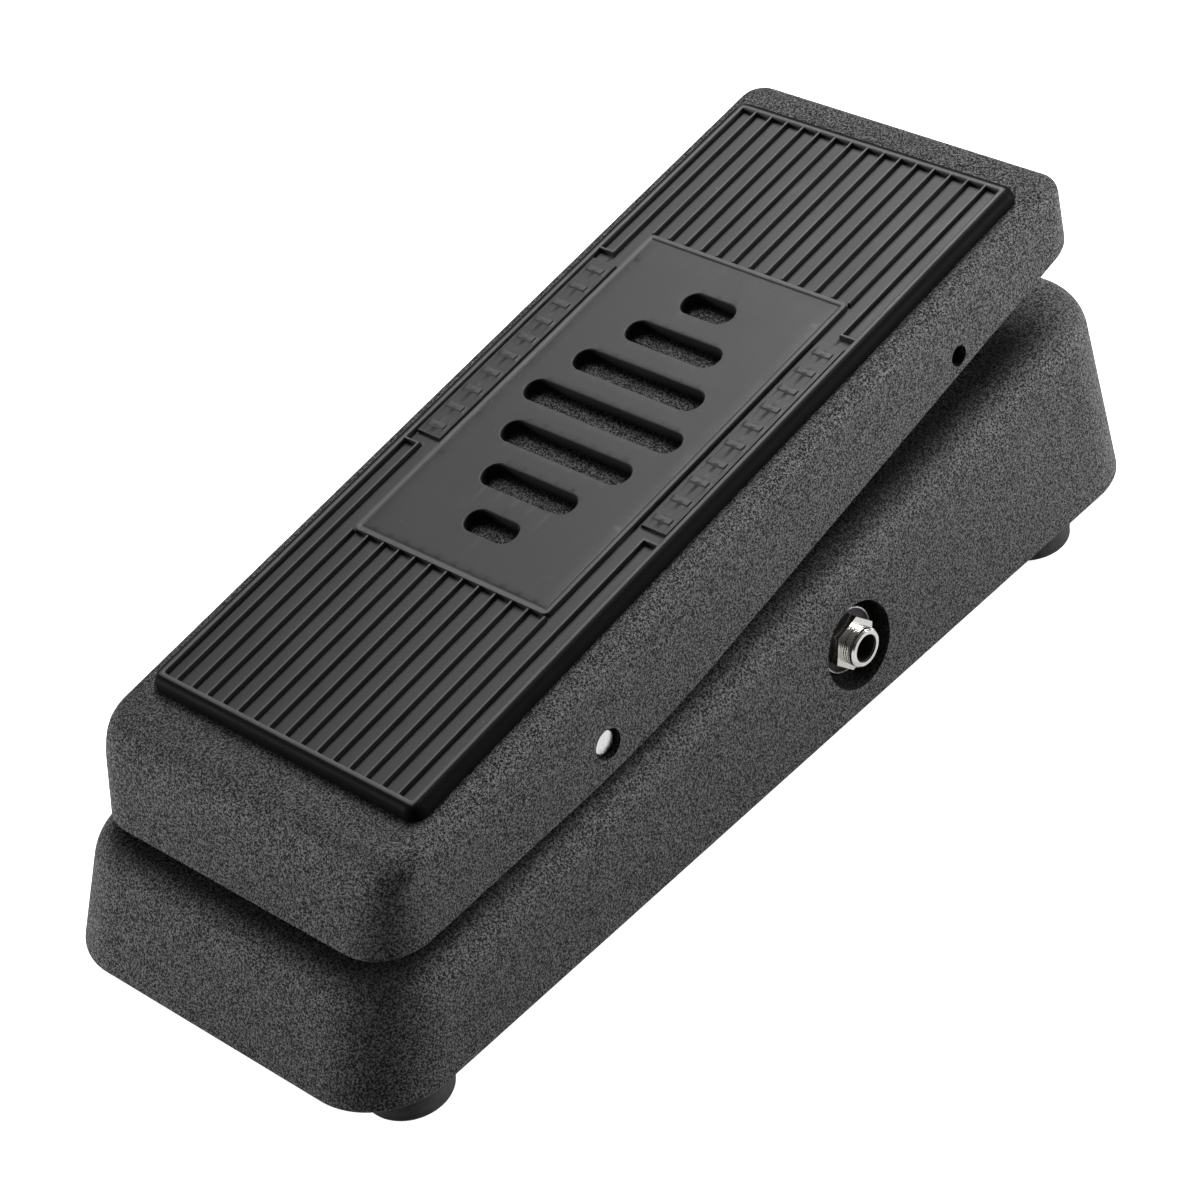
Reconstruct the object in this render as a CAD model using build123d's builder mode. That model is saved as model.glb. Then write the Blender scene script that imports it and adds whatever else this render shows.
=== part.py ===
from build123d import *
import math
import os

# Rocker-type guitar effects pedal: a wedge-shaped cast base, a cast treadle
# rocking on a cross shaft, and a rack and pinion that turns a potentiometer.
# Frame: +X right-hand side (input jack), +Y toe end, +Z up, origin on the
# floor at the centre of the footprint. The treadle is drawn heel down.
# Heights in the script are taken from a datum FOOT_DROP above the floor.
# Places are (x, y) on level planes and (y, z) on planes across X.

# ---------------------------------------------------------------- shared dimensions
# base
BASE_W, BASE_L, BASE_R = 102.0, 253.0, 18.0   # footprint at the rim
FOOT_DROP = 1.6
Z_RIM = 6.0
Z_LOFT = 70.0                                 # upper section of the taper
DRAFT_SIDE, DRAFT_HEEL, DRAFT_TOE = 5.2, 22.5, 1.8   # degrees
BASE_WALL = 3.0
TOP_FILLET = 8.8
RIM_FILLET = 0.7
# top of the base, side view: three points (y, z) of one very large arc
TOP_LINE = [(-112.0, 30.3), (-33.0, 37.0), (117.4, 53.0)]

# underside
PLATE_T = 1.5
PLATE_TOP = Z_RIM + PLATE_T
FEET = [(39.0, -109.0), (-39.0, -109.0), (39.0, 95.5), (-39.0, 95.5)]
BATTERY_Y = -86.0

# pivot shaft
PIVOT = PIVOT_Y, PIVOT_Z = -44.7, 44.6
SHAFT_R = 3.0
TOWER_HALF = 20.0
BUSH_R = 4.5

# sockets
JACK = JACK_Y, JACK_Z = 25.4, 21.5
THREAD_R = 4.5
POCKET_FLOOR_X = 45.5
POWER = (-20.0, 19.0)

# circuit board
BOARD_Z, BOARD_T = 22.4, 1.6
BOARD_TOP = BOARD_Z + BOARD_T
BOARD_POSTS = [(28, -62), (-28, -62), (28, 6), (-28, 6)]

# footswitch
SWITCH = (0, 100.0)
SWITCH_PAD_Z, SWITCH_PAD_T = 52.4, 5.7
SWITCH_PAD_LOW = SWITCH_PAD_Z - SWITCH_PAD_T

# rack drive
MODULE, TEETH = 0.8, 12
PITCH_R = MODULE * TEETH / 2
PITCH = math.pi * MODULE
PRESSURE = math.radians(20)
RACK_LINE_Y = 71.0                            # pitch line of the rack
PINION = PINION_Y, PINION_Z = RACK_LINE_Y - PITCH_R, 28.0
RACK_SLOT_Y = 75.0
BRACKET_X, BRACKET_Z, BRACKET_T = -10.0, 40.4, 1.6
BRACKET_FACE_X = BRACKET_X + BRACKET_T
BRACKET_TOP = BRACKET_Z + BRACKET_T
BRACKET_SCREWS = [(-23.6, 60.5), (-23.6, 74.5)]
GUIDE_SCREW = (82.2, 22.5)

# treadle (coordinates x, u, w in the plane of its top face)
TILT = math.radians(8.62)
TILT_COS, TILT_SIN = math.cos(TILT), math.sin(TILT)
TREAD_Z = 69.66                               # height of the top plane at y = 0
TREAD_ROOF = 3.2
RACK_PIN = PIN_U, PIN_W = 71.76, -14.75
RACK_PIN_R = 1.5
BUMPERS = [(17.5, -88), (-17.5, -88)]
BUMPER_POST = 21.8                            # length of the posts below the top plane

TREAD = Plane(origin=(0, 0, TREAD_Z), x_dir=(1, 0, 0), z_dir=(0, -TILT_SIN, TILT_COS))
TREAD_SIDE = Plane(origin=(0, 0, TREAD_Z), x_dir=(0, TILT_COS, TILT_SIN), z_dir=(1, 0, 0))


# ---------------------------------------------------------------- helpers
def level(z):
    """horizontal plane at height z"""
    return Plane.XY.offset(z)


def across(x):
    """plane square to X, with coordinates (y, z)"""
    return Plane.YZ.offset(x)


def cylinders(plane, radius, length, *places, mode=Mode.ADD):
    """adds a cylinder at each place to the part being built"""
    with BuildSketch(plane, mode=Mode.PRIVATE) as discs:
        with Locations(*places):
            Circle(radius)
    extrude(discs.sketch, amount=length, mode=mode)


def bores(plane, radius, length, *places):
    """cuts a cylinder at each place from the part being built"""
    cylinders(plane, radius, length, *places, mode=Mode.SUBTRACT)


def keep(builder, name):
    """stands the finished piece on the floor and writes its file"""
    part = Pos(0, 0, FOOT_DROP) * builder.part
    part.label = name
    export_step(part, "parts/%s.step" % name)


os.makedirs("parts", exist_ok=True)


# ---------------------------------------------------------------- base casting
def arc_through(p, q, r):
    """centre and radius of the circle through three points"""
    ax, ay, bx, by, cx, cy = *p, *q, *r
    a2, b2, c2 = ax * ax + ay * ay, bx * bx + by * by, cx * cx + cy * cy
    d = 2 * (ax * (by - cy) + bx * (cy - ay) + cx * (ay - by))
    x = (a2 * (by - cy) + b2 * (cy - ay) + c2 * (ay - by)) / d
    y = (a2 * (cx - bx) + b2 * (ax - cx) + c2 * (bx - ax)) / d
    return x, y, math.hypot(ax - x, ay - y)


ARC_Y, ARC_Z, ARC_R = arc_through(*TOP_LINE)


def base_top(y, drop):
    """point (y, z) on the base's hollow-curved top, or on a surface drop below it"""
    return y, ARC_Z - math.sqrt((ARC_R + drop) ** 2 - (y - ARC_Y) ** 2)


def base_block(inset):
    """tapered block under the curved top, its surfaces inset from the casting's outside"""
    rise = Z_LOFT - Z_RIM
    side_in, heel_in, toe_in = (rise * math.tan(math.radians(draft))
                                for draft in (DRAFT_SIDE, DRAFT_HEEL, DRAFT_TOE))
    radius = BASE_R - inset
    reach = 140                               # the cut runs past both ends
    with BuildPart() as block:
        with BuildSketch(level(Z_RIM)):
            RectangleRounded(BASE_W - 2 * inset, BASE_L - 2 * inset, radius)
        with BuildSketch(level(Z_LOFT)), Locations((0, (heel_in - toe_in) / 2)):
            RectangleRounded(BASE_W - 2 * side_in - 2 * inset,
                             BASE_L - heel_in - toe_in - 2 * inset, radius)
        loft(ruled=True)
        with BuildSketch(Plane.YZ):
            with BuildLine():
                heel, middle, toe = (base_top(y, inset) for y in (-reach, 0, reach))
                ThreePointArc(heel, middle, toe)
                Polyline(toe, (reach, 90), (-reach, 90), heel)
            make_face()
        extrude(amount=80, both=True, mode=Mode.SUBTRACT)
        fillet(block.faces().filter_by(lambda f: f.normal_at().Z > 0.9).edges()
               .filter_by(lambda e: abs(e.center().X) > 5 or abs(e.center().Y) > 60),
               TOP_FILLET - inset)
    return block.part


TOWER_R, TOWER_FOOT_Z = 8.0, 34.6
POCKET_R = 10.0
# bottom z, height, radius, places
BOSSES = [
    (PLATE_TOP, 25.0 - PLATE_TOP, 4.5, FEET[:2]),
    (PLATE_TOP, 48.5 - PLATE_TOP, 4.2, FEET[2:]),
    (BOARD_TOP, 9.0, 3.0, BOARD_POSTS[:2]),
    (BOARD_TOP, 15.0, 3.0, BOARD_POSTS[2:]),
    (BRACKET_TOP, 3.6, 4.0, BRACKET_SCREWS),
]
# bottom z, depth, radius, places
SCREW_HOLES = [
    (PLATE_TOP, 14.0, 1.8, FEET),
    (BOARD_TOP, 6.0, 1.2, BOARD_POSTS),
    (BRACKET_TOP, 3.4, 1.2, BRACKET_SCREWS),
]

with BuildPart() as base_casting:
    add(base_block(0))
    fillet(base_casting.faces().sort_by(Axis.Z)[0].edges(), RIM_FILLET)
    # hollow
    add(base_block(BASE_WALL), mode=Mode.SUBTRACT)
    # pivot tower standing on the top
    with BuildSketch(Plane.YZ):
        with Locations(PIVOT):
            Circle(TOWER_R)
        with Locations((PIVOT_Y, (PIVOT_Z + TOWER_FOOT_Z) / 2)):
            Rectangle(2 * TOWER_R, PIVOT_Z - TOWER_FOOT_Z)
    extrude(amount=TOWER_HALF, both=True)
    # spot face for the footswitch, above and below the top
    cylinders(level(SWITCH_PAD_Z), 11, -SWITCH_PAD_T, SWITCH)
    # foot screw bosses, board posts, bracket pads
    for z, height, radius, places in BOSSES:
        cylinders(level(z), radius, height, *places)
    # socket bosses inside the side walls, each with an outer pocket and a hole
    for side in (1, -1):
        cylinders(across(side * 43.0), 12.6, side * 5.0, JACK)
        bores(across(side * POCKET_FLOOR_X), POCKET_R, side * 10.0, JACK)
        bores(across(side * 40.0), THREAD_R + 0.15, side * 10.0, JACK)
    # power socket hole, left wall
    bores(across(-44.0), 5.6, -10.0, POWER)
    # slot for the rack and the treadle's lugs
    with BuildSketch(level(36.0)), Locations((0, RACK_SLOT_Y)):
        RectangleRounded(17.0, 19.0, 2.0)
    extrude(amount=24.0, mode=Mode.SUBTRACT)
    # footswitch hole
    bores(level(40.0), 6.15, 20.0, SWITCH)
    # bushing bore through the tower
    bores(across(-25.0), BUSH_R, 50.0, PIVOT)
    # screw holes from below
    for z, depth, radius, places in SCREW_HOLES:
        bores(level(z), radius, depth, *places)
keep(base_casting, "base_casting")

# ---------------------------------------------------------------- underside
PLATE_GAP_X, PLATE_GAP_Y = 0.6, 1.9           # total play inside the walls
DOOR_W, DOOR_L, DOOR_R = 53.0, 30.0, 2.0
DOOR_GAP = 0.5
FINGER_L, FINGER_W, FINGER_DEPTH = 16, 5, 0.8

with BuildPart() as bottom_plate:
    with BuildSketch(level(Z_RIM)):
        RectangleRounded(BASE_W - 2 * BASE_WALL - PLATE_GAP_X,
                         BASE_L - 2 * BASE_WALL - PLATE_GAP_Y,
                         BASE_R - BASE_WALL - PLATE_GAP_X / 2)
        with Locations((0, BATTERY_Y)):
            RectangleRounded(DOOR_W, DOOR_L, DOOR_R, mode=Mode.SUBTRACT)
        with Locations(*FEET):
            Circle(2.0, mode=Mode.SUBTRACT)
    extrude(amount=PLATE_T)
keep(bottom_plate, "bottom_plate")

with BuildPart() as battery_cover:
    with BuildSketch(level(Z_RIM)), Locations((0, BATTERY_Y)):
        RectangleRounded(DOOR_W - DOOR_GAP, DOOR_L - DOOR_GAP, 1.8)
    extrude(amount=PLATE_T)
    # finger recess
    with BuildSketch(level(Z_RIM)), Locations((0, BATTERY_Y - 9.5)):
        SlotOverall(FINGER_L, FINGER_W)
    extrude(amount=FINGER_DEPTH, mode=Mode.SUBTRACT)
keep(battery_cover, "battery_cover")

FOOT_R, FOOT_TAPER = 10.0, 0.6
FOOT_SEAT_Z = 3.6                             # the screw head bears here
SCREW_HEAD_H, SCREW_HEAD_R = 2.2, 3.6
SCREW_HEAD_Z = FOOT_SEAT_Z - SCREW_HEAD_H
CROSS_L, CROSS_W, CROSS_DEPTH = 3.6, 0.8, 1.2

with BuildPart() as rubber_feet:
    for foot in FEET:
        with BuildSketch(level(-FOOT_DROP)), Locations(foot):
            Circle(FOOT_R - FOOT_TAPER)
        with BuildSketch(level(Z_RIM)), Locations(foot):
            Circle(FOOT_R)
        loft(ruled=True)
    # recess for the screw head, then the screw hole
    bores(level(-FOOT_DROP), 4.4, FOOT_SEAT_Z + FOOT_DROP, *FEET)
    bores(level(-FOOT_DROP), 1.9, Z_RIM + FOOT_DROP, *FEET)
    fillet(rubber_feet.edges().filter_by(GeomType.CIRCLE).filter_by(
        lambda e: abs(e.radius - FOOT_R + FOOT_TAPER) < 0.01 and e.center().Z < 0.1), 1.0)
keep(rubber_feet, "rubber_feet")

with BuildPart() as foot_screws:
    # pan heads with a cross recess
    cylinders(level(SCREW_HEAD_Z), SCREW_HEAD_R, SCREW_HEAD_H, *FEET)
    fillet(foot_screws.edges().filter_by(lambda e: e.center().Z < SCREW_HEAD_Z + 0.1), 0.9)
    cylinders(level(FOOT_SEAT_Z), 1.75, 16.0, *FEET)
    with BuildSketch(level(SCREW_HEAD_Z)), Locations(*FEET):
        Rectangle(CROSS_L, CROSS_W)
        Rectangle(CROSS_W, CROSS_L)
    extrude(amount=CROSS_DEPTH, mode=Mode.SUBTRACT)
keep(foot_screws, "foot_screws")

# ---------------------------------------------------------------- battery
BATTERY_X, BATTERY_CASE_L = -25.75, 46.0      # left end, length without terminals
BATTERY_W, BATTERY_H = 26.1, 17.3
BATTERY_MID = (BATTERY_Y, 17.15)
BATTERY_FACE_X = BATTERY_X + BATTERY_CASE_L
TERMINALS = [(BATTERY_Y + dy, BATTERY_MID[1]) for dy in (-6.3, 6.3)]
CLIP_X = BATTERY_FACE_X + 0.7

with BuildPart() as battery:
    with BuildSketch(across(BATTERY_X)), Locations(BATTERY_MID):
        RectangleRounded(BATTERY_W, BATTERY_H, 2.0)
    extrude(amount=BATTERY_CASE_L)
    cylinders(across(BATTERY_FACE_X), 2.8, 2.4, *TERMINALS)
keep(battery, "battery")

with BuildPart() as battery_clip:
    with BuildSketch(across(CLIP_X)), Locations(BATTERY_MID):
        RectangleRounded(24.0, 12.0, 2.0)
    extrude(amount=4.0)
    bores(across(CLIP_X), 3.0, 2.0, *TERMINALS)
keep(battery_clip, "battery_clip")

# ---------------------------------------------------------------- circuit board
BOARD_W, BOARD_L, BOARD_Y = 64, 76, -28
COMPONENT_Z = BOARD_Z - 0.1                   # components hang from here
FILM_CAPACITORS = [(8, -10), (8, -18), (8, -26), (22, -14), (22, -24)]
ELECTROLYTICS = [(-20, -40), (-8, -40), (14, -50)]
RESISTORS = [(8, -34), (8, -38), (8, -42), (22, -34),
             (22, -38), (22, -42), (-16, -50), (-16, -54)]
RESISTOR_L, RESISTOR_R, RESISTOR_Z = 6.4, 1.2, 20.9
TRANSISTORS = [(-2, -30), (0, -54)]
TRANSISTOR_R, TRANSISTOR_H = 2.4, 5.0

with BuildPart() as circuit_board:
    with BuildSketch(level(BOARD_Z)):
        with Locations((0, BOARD_Y)):
            RectangleRounded(BOARD_W, BOARD_L, 2)
        with Locations(*BOARD_POSTS):
            Circle(1.3, mode=Mode.SUBTRACT)
    extrude(amount=BOARD_T)
keep(circuit_board, "circuit_board")

with BuildPart() as board_screws:
    # heads below the board, shanks up into the posts
    cylinders(level(BOARD_Z), 2.4, -1.6, *BOARD_POSTS)
    cylinders(level(BOARD_Z), 1.15, 7.2, *BOARD_POSTS)
keep(board_screws, "board_screws")


def round_cans(name, radius, height, rounding, *places):
    """upright cans under the board with a rounded lower edge"""
    with BuildPart() as cans:
        cylinders(level(COMPONENT_Z), radius, -height, *places)
        edge_limit = COMPONENT_Z - height + 0.2
        fillet(cans.edges().filter_by(lambda e: e.center().Z < edge_limit), rounding)
    keep(cans, name)


round_cans("inductor", 8.5, 10.5, 1.2, (-16, -14))
round_cans("electrolytic_capacitors", 3.1, 11.5, 0.5, *ELECTROLYTICS)

with BuildPart() as film_capacitors:
    with BuildSketch(level(COMPONENT_Z)), Locations(*FILM_CAPACITORS):
        RectangleRounded(10, 4.5, 1.0)
    extrude(amount=-8.0)
keep(film_capacitors, "film_capacitors")

with BuildPart() as resistors:
    for x, y in RESISTORS:
        cylinders(across(x - RESISTOR_L / 2), RESISTOR_R, RESISTOR_L, (y, RESISTOR_Z))
keep(resistors, "resistors")

with BuildPart() as transistors:
    # round cases with one flat side
    with BuildSketch(level(COMPONENT_Z)):
        for place in TRANSISTORS:
            with BuildLine():
                case = CenterArc(place, TRANSISTOR_R, -40, 260)
                Line(case @ 1, case @ 0)
            make_face()
    extrude(amount=-TRANSISTOR_H)
keep(transistors, "transistors")

# ---------------------------------------------------------------- sockets
# distances out from the middle of the base
JACK_BACK_X, JACK_FRONT_X, JACK_FACE_X = 18.0, 42.8, 51.6
JACK_BODY = 13.0
JACK_BORE_R = 3.25
JACK_WASHER_T, JACK_NUT_T = 0.7, 2.2
TAG_SPACING, TAG_DROP, TAG_L = 4, 5.4, 4.0

for side, tag in ((1, "input"), (-1, "output")):
    with BuildPart() as jack_body:
        with BuildSketch(across(side * JACK_BACK_X)), Locations(JACK):
            RectangleRounded(JACK_BODY, JACK_BODY, 1.2)
        extrude(amount=side * (JACK_FRONT_X - JACK_BACK_X))
        cylinders(across(side * JACK_FRONT_X), THREAD_R,
                  side * (JACK_FACE_X - JACK_FRONT_X), JACK)
        chamfer(jack_body.edges().filter_by(GeomType.CIRCLE).filter_by(
            lambda e: abs(e.center().X) > JACK_FACE_X - 0.1), 0.4)
        bores(across(side * 19.5), JACK_BORE_R, side * 40.0, JACK)
        # solder tags at the inner end
        with BuildSketch(across(side * JACK_BACK_X)):
            with Locations(*[(JACK_Y + k * TAG_SPACING, JACK_Z - TAG_DROP) for k in (-1, 0, 1)]):
                Rectangle(1.6, 0.5)
        extrude(amount=-side * TAG_L)
    keep(jack_body, tag + "_jack_body")

    with BuildPart() as jack_washer:
        with BuildSketch(across(side * POCKET_FLOOR_X)), Locations(JACK):
            Circle(7.6)
            Circle(THREAD_R + 0.1, mode=Mode.SUBTRACT)
        extrude(amount=side * JACK_WASHER_T)
    keep(jack_washer, tag + "_jack_washer")

    with BuildPart() as jack_nut:
        with BuildSketch(across(side * (POCKET_FLOOR_X + JACK_WASHER_T))), Locations(JACK):
            RegularPolygon(5.6, 6, major_radius=False, rotation=15)
            Circle(THREAD_R + 0.02, mode=Mode.SUBTRACT)
        extrude(amount=side * JACK_NUT_T)
    keep(jack_nut, tag + "_jack_nut")

POWER_BACK_X, POWER_BODY_L, POWER_NECK_L = -34.0, 11.5, 5.0

with BuildPart() as power_socket:
    cylinders(across(POWER_BACK_X), 6.8, -POWER_BODY_L, POWER)
    cylinders(across(POWER_BACK_X - POWER_BODY_L), 5.5, -POWER_NECK_L, POWER)
    # ring-shaped recess around the centre pin
    with BuildSketch(across(-38.0)), Locations(POWER):
        Circle(2.8)
        Circle(1.05, mode=Mode.SUBTRACT)
    extrude(amount=-20.0, mode=Mode.SUBTRACT)
    # the pin stops short of the face
    bores(across(-49.0), 1.2, -3.0, POWER)
keep(power_socket, "power_socket")

# ---------------------------------------------------------------- footswitch
SWITCH_LOW_Z, SWITCH_THREAD_TOP = 24.0, 58.0
SWITCH_BODY = 17.5
SWITCH_THREAD_R = 6.0
SWITCH_TAGS = [(x, SWITCH[1] + y) for x in (-4.5, 4.5) for y in (-5.0, 0.0, 5.0)]
SWITCH_WASHER_T, SWITCH_NUT_T = 0.6, 2.4
PLUNGER_R, PLUNGER_LOW, PLUNGER_TOP = 4.2, 46.0, 63.0

with BuildPart() as footswitch_body:
    with BuildSketch(level(SWITCH_LOW_Z)), Locations(SWITCH):
        RectangleRounded(SWITCH_BODY, SWITCH_BODY, 1.0)
    extrude(amount=SWITCH_PAD_LOW - SWITCH_LOW_Z)
    cylinders(level(SWITCH_PAD_LOW), SWITCH_THREAD_R, SWITCH_THREAD_TOP - SWITCH_PAD_LOW, SWITCH)
    bores(level(41.0), PLUNGER_R + 0.05, 20.0, SWITCH)
    with BuildSketch(level(SWITCH_LOW_Z)), Locations(*SWITCH_TAGS):
        Rectangle(2.2, 0.8)
    extrude(amount=-4.5)
keep(footswitch_body, "footswitch_body")

with BuildPart() as footswitch_washer:
    with BuildSketch(level(SWITCH_PAD_Z)), Locations(SWITCH):
        Circle(8.6)
        Circle(SWITCH_THREAD_R + 0.1, mode=Mode.SUBTRACT)
    extrude(amount=SWITCH_WASHER_T)
keep(footswitch_washer, "footswitch_washer")

with BuildPart() as footswitch_nut:
    with BuildSketch(level(SWITCH_PAD_Z + SWITCH_WASHER_T)), Locations(SWITCH):
        RegularPolygon(7.0, 6, major_radius=False)
        Circle(SWITCH_THREAD_R + 0.02, mode=Mode.SUBTRACT)
    extrude(amount=SWITCH_NUT_T)
keep(footswitch_nut, "footswitch_nut")

with BuildPart() as footswitch_plunger:
    cylinders(level(PLUNGER_LOW), PLUNGER_R, PLUNGER_TOP - PLUNGER_LOW, SWITCH)
    fillet(footswitch_plunger.edges().sort_by(Axis.Z)[-1], 1.2)
keep(footswitch_plunger, "footswitch_plunger")

# ---------------------------------------------------------------- pinion
PINION_T, PINION_BORE_R = 7.2, 3.0
PINION_ROOT_R = 4.15
PINION_BACKLASH = 0.06
BASE_CIRCLE = PITCH_R * math.cos(PRESSURE)
# radii at which the involute flanks are sampled
FLANK_RADII = [BASE_CIRCLE + 0.001, 4.65, 4.8, 5.0, 5.25, 5.45, PITCH_R + MODULE]


def involute(angle):
    return math.tan(angle) - angle


def pinion_points():
    """outline (y, z) of the gear"""
    half = (PITCH / 2 - PINION_BACKLASH) / (2 * PITCH_R) + involute(PRESSURE)
    flank = [(PINION_ROOT_R, half)]
    flank += [(r, half - involute(math.acos(BASE_CIRCLE / r))) for r in FLANK_RADII]
    tooth = [(r, -angle) for r, angle in flank] + flank[::-1]
    points = []
    for k in range(TEETH):
        centre = 2 * math.pi * k / TEETH
        for r, angle in tooth:
            points.append((PINION_Y + r * math.cos(centre + angle),
                           PINION_Z + r * math.sin(centre + angle)))
    return points


with BuildPart() as pinion_gear:
    with BuildSketch(across(-PINION_T / 2)):
        with BuildLine():
            Polyline(*pinion_points(), close=True)
        make_face()
        with Locations(PINION):
            Circle(PINION_BORE_R, mode=Mode.SUBTRACT)
    extrude(amount=PINION_T)
keep(pinion_gear, "pinion_gear")

# ---------------------------------------------------------------- potentiometer
POT_R, POT_T = 12.0, 10.0
POT_NECK_R = 3.6
POT_TAGS = [(PINION_Y + dy, PINION_Z - 13.5) for dy in (-5, 0, 5)]

with BuildPart() as pot_shaft:
    cylinders(across(-12.0), PINION_BORE_R - 0.02, 16.4, PINION)
    chamfer(pot_shaft.edges().filter_by(lambda e: e.center().X > 4), 0.4)
keep(pot_shaft, "pot_shaft")

with BuildPart() as pot_body:
    cylinders(across(BRACKET_X), POT_R, -POT_T, PINION)
    fillet(pot_body.edges().filter_by(lambda e: e.center().X < -19), 1.0)
    cylinders(across(BRACKET_X), POT_NECK_R, 6.0, PINION)
    bores(across(-13.5), PINION_BORE_R + 0.02, 12.0, PINION)
    with BuildSketch(across(-12.2)), Locations(*POT_TAGS):
        Rectangle(2.0, 5.6)
    extrude(amount=-0.6)
keep(pot_body, "pot_body")

with BuildPart() as pot_nut:
    with BuildSketch(across(BRACKET_FACE_X)), Locations(PINION):
        RegularPolygon(5.0, 6, major_radius=False)
        Circle(POT_NECK_R + 0.02, mode=Mode.SUBTRACT)
    extrude(amount=2.0)
keep(pot_nut, "pot_nut")

with BuildPart() as pot_bracket:
    # upright plate
    with BuildSketch(across(BRACKET_X)):
        with Locations((71.0, 30.5)):
            Rectangle(28.0, 23.0)
        with Locations(PINION):
            Circle(POT_NECK_R + 0.1, mode=Mode.SUBTRACT)
        with Locations(GUIDE_SCREW):
            Circle(1.05, mode=Mode.SUBTRACT)
    extrude(amount=BRACKET_T)
    # level flange under the pads
    with BuildSketch(level(BRACKET_Z)):
        with Locations((-18.0, 67.5)):
            Rectangle(19.2, 21.0)
        with Locations(*BRACKET_SCREWS):
            Circle(1.4, mode=Mode.SUBTRACT)
    extrude(amount=BRACKET_T)
keep(pot_bracket, "pot_bracket")

with BuildPart() as bracket_screws:
    cylinders(level(BRACKET_Z), 1.15, 4.6, *BRACKET_SCREWS)
    cylinders(level(BRACKET_Z), 2.2, -1.4, *BRACKET_SCREWS)
keep(bracket_screws, "bracket_screws")

# ---------------------------------------------------------------- rack
RACK_HALF = 2.5                               # half thickness
RACK_BACK_Y, RACK_LOW_Z = 77.0, 22.2
TIP_REACH, ROOT_DEPTH = 0.5, 0.9              # from the pitch line
RACK_BACKLASH = 0.10
TEETH_TOP_Z = 49.5
EYE_Y = PIN_U * TILT_COS - PIN_W * TILT_SIN
EYE_Z = TREAD_Z + PIN_U * TILT_SIN + PIN_W * TILT_COS
EYE_L, EYE_H = 11.6, 7.6
PIN_SWING = 1.61                              # travel of the pin along the slot

with BuildPart() as rack_guide:
    with BuildSketch(level(19.5)):
        with Locations((-1.7, 79.3)):
            Rectangle(13.4, 11.6)
        with Locations((0, RACK_SLOT_Y)):
            Rectangle(2 * RACK_HALF + 0.1, 4.1, mode=Mode.SUBTRACT)
    extrude(amount=14.0)
    bores(across(BRACKET_FACE_X), 1.0, 7.0, GUIDE_SCREW)
keep(rack_guide, "rack_guide")

with BuildPart() as guide_screw:
    cylinders(across(BRACKET_X), 1.9, -1.2, GUIDE_SCREW)
    cylinders(across(BRACKET_X), 0.98, 8.2, GUIDE_SCREW)
keep(guide_screw, "guide_screw")


def rack_points():
    """outline (y, z) of the toothed stem"""
    root_y, tip_y = RACK_LINE_Y + ROOT_DEPTH, RACK_LINE_Y - TIP_REACH
    half = (PITCH / 2 - RACK_BACKLASH) / 2
    half_tip = half - TIP_REACH * math.tan(PRESSURE)
    half_root = half + ROOT_DEPTH * math.tan(PRESSURE)
    points = [(RACK_BACK_Y, RACK_LOW_Z), (root_y, RACK_LOW_Z)]
    z = PINION_Z - 1.5 * PITCH
    while z + half_root <= TEETH_TOP_Z:
        points += [(root_y, z - half_root), (tip_y, z - half_tip),
                   (tip_y, z + half_tip), (root_y, z + half_root)]
        z += PITCH
    return points + [(root_y, EYE_Z), (RACK_BACK_Y, EYE_Z)]


with BuildPart() as rack:
    # toothed stem with a slotted eye for the treadle's pin
    with BuildSketch(across(-RACK_HALF)):
        with BuildLine():
            Polyline(*rack_points(), close=True)
        make_face()
        with Locations((EYE_Y + PIN_SWING / 2, EYE_Z)):
            SlotOverall(EYE_L, EYE_H)
            SlotOverall(PIN_SWING + 2 * RACK_PIN_R + 0.24, 2 * RACK_PIN_R + 0.16,
                        mode=Mode.SUBTRACT)
    extrude(amount=2 * RACK_HALF)
keep(rack, "rack")

# ---------------------------------------------------------------- treadle
TREAD_DEPTH = 30.0
TREAD_WALL = 3.0
# half width, heel u, toe u, heel corner radius, toe corner radius
TREAD_TOP = (45.0, -105.7, 116.7, 7.8, 6.0)
TREAD_LOW = (45.6, -120.9, 117.3, 15.5, 13.5)  # at TREAD_DEPTH
EDGE_ROUND = 3.4                              # top edge along the sides and toe
HEEL_ROUND, HEEL_SHARE = 7.5, 0.62            # top edge over the heel, scaled along u
MIN_TOE_R = 2.4
# depths of the shell's loft sections, closer together over the rounded edge
STEPS = [TREAD_DEPTH, 20.0, 13.0, 9.5, 6.5, 4.6, 3.4, 2.3, 1.4, 0.7, 0.25, 0.0]
SKIRT = [(-114.9, 18.2), (-37.4, 26.6), (117.0, 15.5)]   # (u, depth) of lower edge
SKIRT_BEND_R = 250.0
ROOT_W = 0.5 - TREAD_ROOF                     # ribs and lugs start inside the roof
RIB_X, RIB_U, RIB_T, RIB_L, RIB_H = 26, 6, 2.0, 190.0, 4.5
LUG_R, LUG_X, LUG_T = 3.4, 3.0, 3.4


def tread_outline(depth, half, heel, toe, heel_radius, toe_radius):
    """rounded outline at a depth below the treadle's top plane"""
    with BuildSketch(TREAD.offset(-depth)) as outline:
        with Locations((0, (heel + toe) / 2)):
            Rectangle(2 * half, toe - heel)
        fillet(outline.vertices().group_by(Axis.Y)[-1], toe_radius)
        fillet(outline.vertices().group_by(Axis.Y)[0], heel_radius)
    return outline.sketch


def tread_sizes(depth):
    """outline sizes at a depth, between TREAD_TOP and TREAD_LOW"""
    share = depth / TREAD_DEPTH
    return [top + share * (low - top) for top, low in zip(TREAD_TOP, TREAD_LOW)]


def round_inset(radius, depth):
    """how far a quarter-round edge stands in at a depth"""
    return radius - math.sqrt(radius ** 2 - (radius - depth) ** 2) if depth < radius else 0.0


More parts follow.
